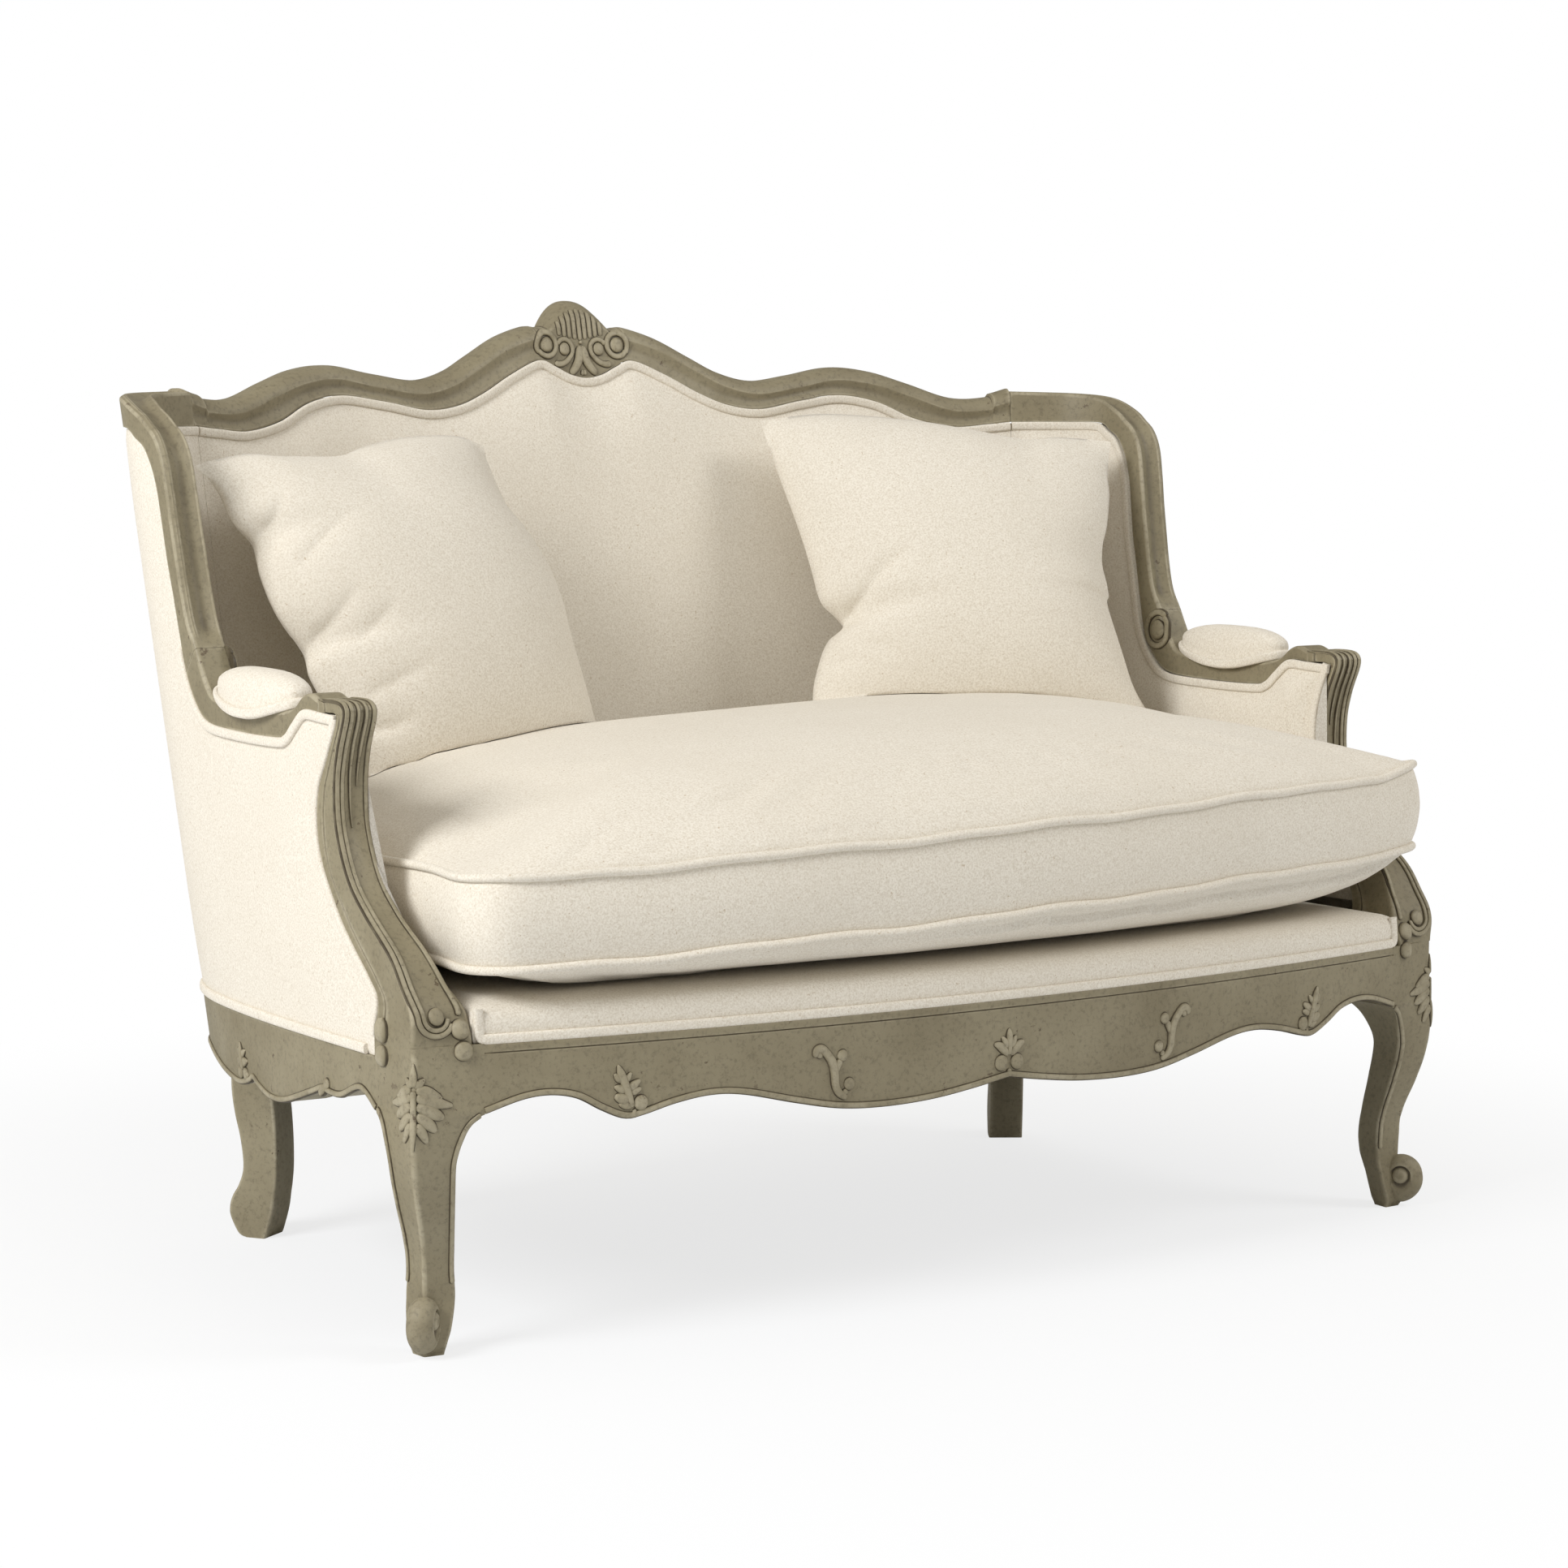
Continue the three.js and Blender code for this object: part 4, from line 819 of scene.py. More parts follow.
class settee_colours(bpy.types.PropertyGroup):
    """Colours of the settee that can be changed"""
    paint: bpy.props.FloatVectorProperty(
        name="Paint", description="Sage grey paint of the show wood", subtype="COLOR",
        default=(0.284, 0.247, 0.158), min=0, max=1)
    paint_shade: bpy.props.FloatVectorProperty(
        name="Paint shade", description="Darker patches of the paint", subtype="COLOR",
        default=(0.212, 0.18, 0.11), min=0, max=1)
    rubbed: bpy.props.FloatVectorProperty(
        name="Rubbed paint", description="Lighter paint where edges are rubbed", subtype="COLOR",
        default=(0.425, 0.378, 0.268), min=0, max=1)
    # Grime and shade: the dark brown of the fine mottle, and of the dirt in hollows, which also stands for
    # painted shade there
    grime_and_shade: bpy.props.FloatVectorProperty(
        name="Grime", description="Dirt in the hollows of the carving", subtype="COLOR",
        default=(0.07, 0.054, 0.031), min=0, max=1)
    chips: bpy.props.FloatVectorProperty(
        name="Chips", description="Brown wood where the paint has chipped", subtype="COLOR",
        default=(0.085, 0.055, 0.03), min=0, max=1)
    linen: bpy.props.FloatVectorProperty(
        name="Linen", description="Cream linen of the upholstery", subtype="COLOR",
        default=(0.82, 0.775, 0.685), min=0, max=1)
    linen_shade: bpy.props.FloatVectorProperty(
        name="Linen shade", description="Darker threads of the linen", subtype="COLOR",
        default=(0.66, 0.6, 0.5), min=0, max=1)
    flecks: bpy.props.FloatVectorProperty(
        name="Flecks", description="Brown flecks of flax in the linen", subtype="COLOR",
        default=(0.42, 0.3, 0.17), min=0, max=1)


crown_half = 66 * mm
crown_middle_half = 44 * mm
crown_grid_half = 78 * mm
ear_step_width = 26 * mm
ear_step_rise = 3.4 * mm
ear_step_ease = 3.2 * mm


def crest_front(across, height, top):
    """The depth of the crest rail's front, moulded along the rail and rolled far back over the crown."""
    crown = eased(np.clip((crown_half - np.abs(across)) / (20 * mm), 0, 1))
    middle = np.clip((crown_middle_half - np.abs(across)) / (16 * mm), 0, 1)
    roll = (15 + 9 * middle - 7 * crown * (1 - middle)) * mm
    low = crest_edges(across)[1]
    share = np.clip((height - low) / np.maximum(top - roll - low, mm), 0, 1)
    cove = np.sin(np.pi * np.clip((share - 0.08) / 0.9, 0, 1)) ** 1.5
    lip = np.clip((height - (top - roll)) / roll, 0, 1)
    back = (18.8 + 7.2 * crown) * mm * (1 - np.sqrt(1 - lip ** 2))
    return wood_depth - 2.6 * mm * cove * (1 - crown) - 1.2 * mm * crown - back, roll, crown


def crest_face(u, v):
    """A place on the front of the crest rail."""
    across, height = np.broadcast_arrays(u * mm, v * mm)
    depth = crest_front(across, height, crest_edges(across)[0])[0]
    return wall(crest_station(across, height), height, depth)


def crest_points():
    """Rings along the crest rail, closest together at the crown and at the step beside each ear."""
    ear_step = ear_half_width - ear_step_width
    half = np.concatenate([
        np.linspace(0, crown_grid_half, 79)[:-1], np.linspace(crown_grid_half, ear_step - mm, 70),
        ear_step + np.linspace(0, ear_step_ease, 5), np.linspace(ear_step + 4.5 * mm, ear_half_width, 8)])
    across = np.concatenate([-half[:0:-1], half])[:, None]
    top, low = crest_edges(across)
    top = top + ear_step_rise * np.clip((np.abs(across) - ear_step) / ear_step_ease, 0, 1)
    station = crest_station(across, top)
    _, roll, crown = crest_front(across, top, top)
    turn = np.linspace(0, math.pi / 2, 14)[1:]
    height = np.concatenate([low + np.linspace(0, 1, 60) * (top - roll - low),
                             top - roll + roll * np.sin(turn)], 1)
    depth = crest_front(across, height, top)[0]
    back_turn = np.linspace(math.pi / 2, 0, 9)[1:]
    back_roll = 8 * mm
    back_heights = top - back_roll * (1 - np.sin(back_turn))
    back_depths = (12 - 3.5 * crown) * mm * (1 - np.cos(back_turn))
    back = low + np.linspace(1, 0, 4)[1:] * (top - back_roll - low)
    heights = np.concatenate([height, back_heights, back], 1)
    depths = np.concatenate([depth, back_depths, np.zeros((len(across), 3))], 1)
    return closed(wall(station, heights, depths))


def ring_line(centre, radii, start, end, count=9):
    """Places round a scroll from one angle to another, in degrees, as its radius changes."""
    turn = np.radians(np.linspace(start, end, count))
    radius = np.linspace(*radii, count)
    return np.stack([centre[0] + radius * np.cos(turn), centre[1] + radius * np.sin(turn)], 1)


def rib(line, radius, rise):
    """A stroke along a line with one radius and height."""
    line = np.asarray(line, float)
    return np.column_stack([line, np.full(len(line), radius), np.full(len(line), rise)])


def crown_strokes():
    """The crown: a shell of flutes over two pairs of scrolls and a forked stem."""
    strokes = []
    flute_pitch, flute_foot, flute_head = 7.7, 1011, 1050
    for flute in range(5):
        across, low, high = flute_pitch * flute, flute_foot + 1.4 * flute, flute_head - 0.95 * flute ** 2
        strokes.append([(across, low, 2.6, 1.2), (across, low + 8, 3.0, 1.6), (across, high - 8, 3.1, 1.7),
                        (across, high, 2.6, 0.8)])
    outer_eye, inner_eye = (52.3, 1006), (25.4, 1001)
    strokes.append(rib(ring_line(outer_eye, (13.8, 15), -25, -405, 28), 3.3, 2.8))
    strokes.append([(*outer_eye, 9.4, 3.6)])
    strokes.append(np.concatenate([
        rib(ring_line(inner_eye, (11.4, 12), 25, 228, 14), 3, 2.8),
        rib([(22.5, 987), (29, 983.5)], 3.4, 2.6),
        rib([(36, 982.5), (42, 984)], 3.8, 2.2)]))
    strokes.append([(*inner_eye, 8, 3.4)])
    strokes.append([(2.2, 1005, 3.4, 2.2), (3.6, 996, 6, 2.8), (6, 987, 6, 2.8), (12, 978, 5.4, 2.6),
                    (20, 970.5, 4, 2)])
    strokes.append([(1.6, 976, 1.6, 1.6), (2.2, 969, 2.8, 2.2)])
    strokes.append([(0, 1009, 2.4, 3.2)])
    return flipped([np.asarray(rows, float).tolist() for rows in strokes])


class SETTEE_OT_crest_rail(bpy.types.Operator):
    """Adds the serpentine crest rail with its carved crown"""
    bl_idname = "settee.crest_rail"
    bl_label = "Crest rail"

    def execute(self, context):
        dress(bent_grid("crest_rail_moulded", crest_points()), "painted_wood", stands_for=("crest_rail",))
        dress(carved("crown_carving", crown_strokes(), crest_face), "painted_wood")
        return {"FINISHED"}


def inner_face(u, v):
    """A place on the inside of the right wood by how far forward and how high it is, in mm."""
    height = v * mm
    return wall(station_at("y", -u * mm - settee_shift, height), height, wood_depth)


wing_scroll_middle = (-88, 654)
wing_scroll_reach = 17
wing_fade_top = 1.1
wing_fade_foot = 0.8


class SETTEE_OT_wing_rails(bpy.types.Operator):
    """Adds the moulded rails down the wings and the scroll at the foot of each"""
    bl_idname = "settee.wing_rails"
    bl_label = "Wing rails"

    def execute(self, context):
        outer, cloth = side_edges(0.012, wing_end - 0.006, 130)
        row = np.linspace(0, wing_end, len(outer))
        fade = eased(np.clip(row[::-1] / wing_fade_top, 0, 1)) * np.clip(row / wing_fade_foot + 0.3, 0, 1)
        points = bar_points(outer, cloth, np.full(len(outer), wood_depth),
                            lambda depth, width: wing_moulding(depth, width, fade))
        pair(bent_grid("wing_rail_moulded_right", points), "painted_wood", "wing_rail")
        ring = ring_line(wing_scroll_middle, (19, 22), 60, -310, 28)
        ring[:, 0] = np.minimum(ring[:, 0], wing_scroll_middle[0] + wing_scroll_reach)
        strokes = [rib(ring, 3.8, 3.0), [(*wing_scroll_middle, 12.4, 4.2)]]
        pair(carved("wing_scroll_right", strokes, inner_face), "painted_wood")
        return {"FINISHED"}


class SETTEE_OT_arm_rails(bpy.types.Operator):
    """Adds the rails under the arm pads"""
    bl_idname = "settee.arm_rails"
    bl_label = "Arm rails"

    def execute(self, context):
        outer, cloth = side_edges(wing_end + 0.006, arm_end, 90)
        points = bar_points(outer, cloth, np.full(len(outer), wood_depth), rounded_edge)
        pair(bent_grid("arm_rail_moulded_right", points), "painted_wood", "arm_rail")
        return {"FINISHED"}


# The top of the post, where its front turns over to the arm, in the same columns as post_shares
post_head = np.array([
    [0.2290, 1, 0.2295, 0.9993, 1], [0.21, 1, 0.2295, 0.993, 1], [0.187, 1, 0.2295, 0.987, 1],
    [0.17, 0.9985, 0.2295, 0.98, 1], [0.159, 0.994, 0.2295, 0.974, 1], [0.152, 0.986, 0.2295, 0.968, 1],
])
post_foot_blend = 31 * mm
post_width = 38 * mm


def post_edges(steps):
    """Stations and heights of the post's front and cloth edges, and its width, down from the arm."""
    rows = smooth_rows(post_shares, np.linspace(1, len(post_shares) - 1, steps))
    rows = np.concatenate([all_rows(post_head, 22), rows], 0)

    def edge(back_share, rise_share):
        height = seat_rail_top + rise_share * (post_span + join_gap)
        return np.stack([station_at("y", back_share * seat_depth, height), height], 1)
    return edge(rows[:, 0], rows[:, 1]), edge(rows[:, 2], rows[:, 3]), rows[:, 4] * post_width


def meet_block(points):
    """Brings the front of the post's foot out to the bowed face of the block below it."""
    first_foot_row = 8
    rows = smooth_rows(post_shares, np.linspace(first_foot_row, len(post_shares) - 1, 60))[::-1]
    level = seat_rail_top + rows[:, 1] * post_span
    front = np.interp(points[..., 2], level, rows[:, 0]) * seat_depth + settee_shift
    behind = np.interp(points[..., 2], level, rows[:, 2]) * seat_depth + settee_shift
    share = np.clip((behind - points[..., 1]) / (behind - front), 0, 1.2)
    weight = eased(np.clip((seat_rail_top + post_foot_blend - points[..., 2]) / post_foot_blend, 0, 1))
    moved = points.copy()
    moved[..., 1] += weight * share * (bow_back(np.abs(points[..., 0])) - front)
    return moved


def post_moulding(depth, width):
    """Rounded edges and a shallow hollow between the beads."""
    hollow_start, hollow_end, hollow_depth = 0.28, 0.86, 1.6 * mm
    hollow = np.clip((depth / width - hollow_start) / (hollow_end - hollow_start), 0, 1)
    return rounded_edge(depth, width) + hollow_depth * np.sin(np.pi * hollow)


def post_face(outer):
    """Places on the post's front by width and by length down its front edge, in mm, and each row's length."""
    length = length_along(wall(*outer.T, 0)) / mm

    def place(u, v):
        return meet_block(wall(np.interp(v, length, outer[:, 0]), np.interp(v, length, outer[:, 1]), u * mm))
    return place, length


def post_strokes(outer, length):
    """Beads over the post's head and down its front, and the scroll and the ball at its foot."""
    order = np.argsort(outer[:, 1])

    def down(rows):
        """The rows with their heights turned into lengths down the post."""
        return [(u, float(np.interp(z * mm, outer[order, 1], length[order])), radius, rise)
                for u, z, radius, rise in rows]

    def over(rows):
        """The same, begun on top of the post's head."""
        u, _, radius, rise = rows[0]
        return [(u, 5, radius * 0.7, 0.9), (u, 22, radius, rise)] + down(rows)

    scroll = (26, 343)
    outside = [(3.2, 600, 2.5, 1.8), (3, 560, 2.5, 2), (2.9, 500, 2.6, 2.2), (2.9, 440, 2.6, 2.2),
               (3, 372, 2.6, 2.4)]
    inside = [(9, 600, 2.3, 1.6), (8.4, 560, 2.3, 1.8), (8.3, 500, 2.4, 2), (8.3, 440, 2.4, 2),
              (9, 372, 2.5, 2.3)]
    outside += rib(ring_line(scroll, (20, 17.6), 178, 335, 9), 2.7, 2.8).tolist()
    inside += rib(ring_line(scroll, (14.2, 12.2), 176, 350, 9), 2.4, 2.8).tolist()
    inner = [(34.6, 600, 2.3, 1.6), (35.2, 560, 2.2, 1.6), (35.2, 440, 2.3, 1.8), (38.5, 402, 2.4, 2),
             (45, 372, 2.6, 2.2), (50.5, 350, 2.8, 2.4), (50.5, 342, 2.8, 2.2)]
    steps = [over([(17, 604, 1.7, 1), (17.4, 575, 1.4, 0.8), (17.8, 545, 1, 0.5), (18, 515, 0.4, 0.2)]),
             over([(26, 604, 1.7, 1), (26, 588, 1.4, 0.8), (25.6, 571, 0.9, 0.4), (25.4, 556, 0.4, 0.2)])]
    return [over(outside), over(inside), over(inner), *steps, down([(*scroll, 8.8, 4.4)]),
            down([(49.3, 329.3, 9.8, 6.5)])]


def side_face(u, v):
    """A place on the outside of the right wall by how far back and how high it is, in mm."""
    height = v * mm
    return wall(station_at("y", u * mm - settee_shift, height), height, 0)


post_side_balls = [[(-315, 337, 11, 6), (-315, 311, 11, 6)],
                   [(-314.5, 309.5, 10.6, 5.6), (-314.5, 287.5, 10.6, 5.6)]]


class SETTEE_OT_arm_posts(bpy.types.Operator):
    """Adds the swept arm posts with their beads, scrolls and drops"""
    bl_idname = "settee.arm_posts"
    bl_label = "Arm posts"

    def execute(self, context):
        outer, cloth, width = post_edges(150)
        points = meet_block(bar_points(outer, cloth, width, post_moulding, groove=1.6 * mm))
        pair(bent_grid("arm_post_moulded_right", points), "painted_wood", "arm_post")
        place, length = post_face(outer)
        lumps = [stroke(rows, place) for rows in post_strokes(outer, length)]
        lumps += [stroke(rows, side_face) for rows in post_side_balls]
        pair(carving("arm_post_carving_right", lumps), "painted_wood")
        return {"FINISHED"}


def leg_ring(corners, chamfers, count=12):
    """Points round four corners whose arrises are eased by a share of the faces beside them."""
    ring = []
    for index in range(4):
        here, after, before = corners[index], corners[(index + 1) % 4], corners[index - 1]
        ease, next_ease = chamfers[index], chamfers[(index + 1) % 4]
        start, end = here + (before - here) * ease, here + (after - here) * ease
        for turn in np.linspace(0, 1, 5):
            ring.append((1 - turn) ** 2 * start + 2 * turn * (1 - turn) * here + turn ** 2 * end)
        following = after + (here - after) * next_ease
        for share in np.linspace(0, 1, count + 1)[1:-1]:
            ring.append(end + (following - end) * share)
    return np.array(ring)


leg_foot = np.array([0.639, settee_shift, 0.0])
leg_height = 0.220
leg_unit = 0.050
diagonal_out = np.array([math.sqrt(0.5), -math.sqrt(0.5), 0])
diagonal_side = np.array([math.sqrt(0.5), math.sqrt(0.5), 0])


def front_leg_rings():
    """Rings up the right front leg and the block on it. The first corner is the front arris."""
    rings = []

    def leg_plan(level):
        _, out, back, half = smooth_rows(front_leg_shares, np.interp(
            level, front_leg_shares[:, 0], np.arange(len(front_leg_shares))))
        middle = (out + back) / 2
        corners = np.array([(out, 0), (middle, half), (back, 0), (middle, -half)]) * leg_unit
        return leg_foot + corners[:, :1] * diagonal_out + corners[:, 1:] * diagonal_side

    def block_plan(height):
        side = wall(station_at("y", leg_block_depth, height), height, 0)
        return np.array([[arm_half_width, bow_back(arm_half_width), 0], [side[0], side[1], 0],
                         [leg_block_half, side[1], 0], [leg_block_half, bow_back(leg_block_half), 0]])

    start, end = 0.188, 0.2438
    for height in np.linspace(0, start, 60)[:-1]:
        rings.append(leg_plan(height / leg_height) + [0, 0, height])
    arc = math.radians(80)
    for turn in np.linspace(0, arc, 20):
        height = start + (end - start) * math.sin(turn) / math.sin(arc)
        share = (1 - math.cos(turn)) / (1 - math.cos(arc))
        leg = leg_plan(min(height / leg_height, 1))
        rings.append(leg + (block_plan(end) - leg) * share + [0, 0, height])
    for height in np.linspace(end, seat_rail_top, 14)[1:]:
        rings.append(block_plan(height) + [0, 0, height])
    turned = []
    for ring in rings:
        chamfer = float(np.clip((end - ring[0, 2]) / (40 * mm), 0, 1)) * 0.11
        turned.append(leg_ring(ring, (max(chamfer, 0.08), chamfer, max(chamfer, 0.02), chamfer)))
    return np.array(turned)


def leg_face(rings):
    """Places on the leg by distance from its front arris and height, in mm."""
    half = rings.shape[1] // 2
    turned = np.roll(rings, half - 2, axis=1)
    levels = turned[:, 0, 2]

    def place(u, v):
        row = np.clip(np.searchsorted(levels, v.ravel() * mm) - 1, 0, len(levels) - 2)
        share = np.clip((v.ravel() * mm - levels[row]) / (levels[row + 1] - levels[row]), 0, 1)[:, None, None]
        around = turned[row] * (1 - share) + turned[row + 1] * share
        length = np.array([length_along(ring[:, :2]) for ring in around])
        length -= length[:, half:half + 1]
        flat = [[np.interp(value, steps, ring[:, 0]), np.interp(value, steps, ring[:, 1])]
                for value, steps, ring in zip(u.ravel() * mm, length, around)]
        return np.concatenate([np.array(flat), v.reshape(-1, 1) * mm], 1).reshape(*u.shape, 3)
    return place


def leg_strokes(rings):
    """The leaf on the knee, and the beads down both edges of the leg's two outer faces."""
    leaf = [[(2, 272, 3, 2.4), (11, 271, 4.8, 3), (20, 266, 4.6, 2.8), (29, 262, 2, 1.6)],
            [(2, 266, 3.4, 2.6), (13, 262, 5.2, 3), (26, 258, 4.6, 2.6), (40, 255, 1.4, 1)],
            [(2, 257, 3.4, 2.6), (12, 253, 5.2, 3), (23, 247, 4.8, 2.6), (31, 243, 2, 1.4)],
            [(2, 248, 3.2, 2.6), (10, 243, 4.8, 2.8), (18, 236, 4.4, 2.4), (24, 230, 1.8, 1.4)],
            [(2, 239, 3, 2.4), (7, 233, 4.2, 2.4), (12, 225, 3.4, 2), (15, 219, 1.4, 1.2)],
            [(2, 274, 2, 2), (6, 279, 3.4, 2.6), (12, 283, 1, 1)]]
    strokes = [[(0, 299, 0.9, 1), (0, 288, 3.2, 2.6), (0, 275, 3.6, 3)],
               [(0, 272, 2.6, 3.2), (0, 250, 2.6, 3.6), (0, 230, 2.6, 3.2), (0, 212, 0.9, 1)]]
    strokes += flipped([[(u, v, 1.2 * radius, rise) for u, v, radius, rise in rows] for rows in leaf])
    low, high, corner, bead_inset = 68 * mm, 244.5 * mm, rings.shape[1] // 4, 3.6
    for side, index in ((1, corner + 2), (-1, 3 * corner + 2)):
        rows = []
        for ring in rings:
            if low <= ring[0, 2] <= high:
                face = ring[2:index + 1] if side > 0 else np.concatenate([ring[index:], ring[:3]], 0)
                rows.append((side * (length_along(face)[-1] / mm - bead_inset), ring[0, 2] / mm, 2.5, 2.0))
        strokes.append(rows[::3] + [rows[-1]])
    return strokes


def toe_points():
    """The scroll that the front toe rolls up into: a rim that widens downwards, round an eye at each end."""
    toe_reach, toe_height = 16.3 * mm, 37.2 * mm
    centre = leg_foot + diagonal_out * toe_reach + [0, 0, toe_height]
    turn = np.linspace(0, 2 * math.pi, 97)[:-1]
    rim = np.interp(np.degrees(turn), (0, 90, 180, 270, 360), (25.4, 23.5, 22, 33.5, 25.4))
    rim_passes = 6
    for _ in range(rim_passes):
        rim = (np.roll(rim, 1) + rim + np.roll(rim, -1)) / 3
    barrel, groove = 14.2, 12.2
    start = np.arcsin(np.clip((groove - (rim - barrel)) / barrel, 0, 1))
    sections = [(reach + 0 * turn, width + 0 * turn) for reach, width in
                ((0.2, 15.6), (3.5, 15.3), (6.5, 14.4), (8.8, 12.6), (9.6, 10.4), (11, 10.2))]
    for share in np.linspace(0, 1, 12):
        angle = start + (math.pi / 2 - start) * share
        sections.append((rim - barrel + barrel * np.sin(angle), barrel * np.cos(angle)))
    rings = []
    for sign, order in ((1, sections), (-1, sections[-2::-1])):
        for reach, width in order:
            rings.append(centre + diagonal_side * sign * width[:, None] * mm
                         + diagonal_out * (np.cos(turn) * reach)[:, None] * mm
                         + np.array([0, 0, 1]) * (np.sin(turn) * reach)[:, None] * mm)
    return closed(np.array(rings))


class SETTEE_OT_front_legs(bpy.types.Operator):
    """Adds the curved front legs with their leaves and scroll toes"""
    bl_idname = "settee.front_legs"
    bl_label = "Front legs"

    def execute(self, context):
        rings = front_leg_rings()
        pair(bent_grid("front_leg_carved_right", closed(rings)), "painted_wood", "front_leg")
        pair(carved("knee_leaf_right", leg_strokes(rings), leg_face(rings)), "painted_wood")
        pair(bent_grid("toe_scroll_right", toe_points(), 60), "painted_wood")
        return {"FINISHED"}


def rear_leg_points():
    """Rings up the right rear leg, with its stile inside the wall."""
    turn = math.radians(33)
    sideways = np.array([math.cos(turn), -math.sin(turn), 0])
    backwards = np.array([math.sin(turn), math.cos(turn), 0])
    foot = np.array([0.527, 0.591 + settee_shift, 0])
    side_station, rear_station = 4.05, 3.5
    rings = []
    for level, back, front in all_rows(rear_leg_shares, 61):
        rise = np.array([0, 0, level * 0.222])
        rings.append([foot + rise + sideways * across + backwards * reach * 0.030 for across, reach in
                      ((0.021, back), (-0.021, back), (-0.021, front), (0.021, front))])
    for height, out_depth, in_depth in ((0.227, 0, 0.044), (0.2947, 0, 0.044), (0.2953, 0.013, 0.031),
                                        (0.909, 0.013, 0.031)):
        rings.append([wall(side_station, height, out_depth), wall(rear_station, height, out_depth),
                      wall(rear_station, height, in_depth), wall(side_station, height, in_depth)])
    return closed(np.array([leg_ring(np.array(ring), (0.08,) * 4, 4) for ring in rings]))


class SETTEE_OT_rear_legs(bpy.types.Operator):
    """Adds the plain swept rear legs"""
    bl_idname = "settee.rear_legs"
    bl_label = "Rear legs"

    def execute(self, context):
        pair(bent_grid("rear_leg_shaped_right", rear_leg_points()), "painted_wood", "rear_leg")
        return {"FINISHED"}


def rail_low(share, shares):
    """The scalloped lower edge of a rail at shares along it."""
    rows = all_rows(shares, 601)
    return seat_rail_top - np.interp(share, rows[:, 0], rows[:, 1]) * rail_drop


def front_rail_low(across):
    return rail_low(np.abs(across) / (leg_block_half - join_gap), front_rail_shares)


def rail_face(u, v):
    """A place on the bowed front of the seat by how far across and how high it is, in mm."""
    return np.stack(np.broadcast_arrays(u * mm, bow_back(np.abs(u) * mm), v * mm), -1)


def front_rail_strokes():
    """A scroll on each side of the middle, a palmette at it, a leaf over each side cusp and the end balls."""
    scroll = [[(-241, 273, 3, 2.4), (-240, 280, 4.2, 3), (-234, 281.5, 4.6, 3), (-227, 275, 4.6, 3),
               (-221, 266, 5, 3), (-218.5, 255, 5, 3), (-217.5, 243, 4.6, 2.8), (-213, 234, 4.2, 2.6),
               (-204, 228, 3, 2)],
              [(-236, 275.5, 4, 2)],
              [(-209, 272.5, 6.4, 3)], [(-211, 269, 4, 2.6), (-215, 262, 4, 2.4), (-217, 255, 3, 2)],
              [(-201, 242.5, 6.6, 3)], [(-204, 237, 3.6, 2.4), (-208, 232, 3, 2)]]
    right_stretch, right_shift = 1.08, 8
    other = [[(right_stretch * abs(u) - right_shift, *rest) for u, *rest in rows] for rows in scroll]
    palmette = flipped([[(-1.5, 254, 3, 2.4), (-7, 260, 4.6, 3), (-13, 265, 4.4, 2.8), (-20, 267.5, 1.6, 1.4)],
                        [(-1, 262, 3, 2.4), (-5, 268, 4, 2.8), (-9.5, 274.5, 1.6, 1.4)],
                        [(-10.4, 246.6, 8.6, 3.4)]])
    palmette += [[(0, 283, 0.9, 1.2), (0, 276, 3.8, 3), (0, 265, 3, 3.4), (0, 254, 2.4, 2.8)],
                 [(0, 240, 2.6, 2), (0, 235, 3.6, 2.2)]]
    leaf = [[(-462, 283.5, 0.9, 1.2), (-459, 275, 4.2, 3), (-454, 262, 4.4, 3.6), (-449.5, 249, 3.6, 3.2),
             (-446.5, 239, 2.4, 2)],
            [(-457, 266, 3.2, 2.4), (-462, 270, 3.6, 2.4), (-466, 275, 1.2, 1.2)],
            [(-453, 256, 4, 2.8), (-459, 259, 4.6, 2.8), (-466, 261.5, 1.6, 1.4)],
            [(-449, 247, 4.4, 2.8), (-457, 249, 5.8, 3), (-466, 252, 3, 2)],
            [(-447, 241, 3.6, 2.4), (-454, 242, 4.2, 2.4), (-461, 244, 2, 1.6)],
            [(-455, 266, 3.2, 2.4), (-451, 270, 3.4, 2.4), (-447.5, 275, 1.2, 1.2)],
            [(-451, 258, 4, 2.8), (-445, 262, 4.4, 2.8), (-437.5, 266.5, 1.8, 1.4)],
            [(-448, 253, 3.4, 2.4), (-443, 256, 3.8, 2.4), (-436.5, 258, 1.8, 1.4)],
            [(-437.5, 243.5, 8, 3.6)], [(-447, 235, 4, 2.4), (-442, 233.5, 4, 2.4)]]
    return scroll + other + palmette + flipped(leaf) + flipped([[(621.4, 308.4, 9.8, 6.5)]])


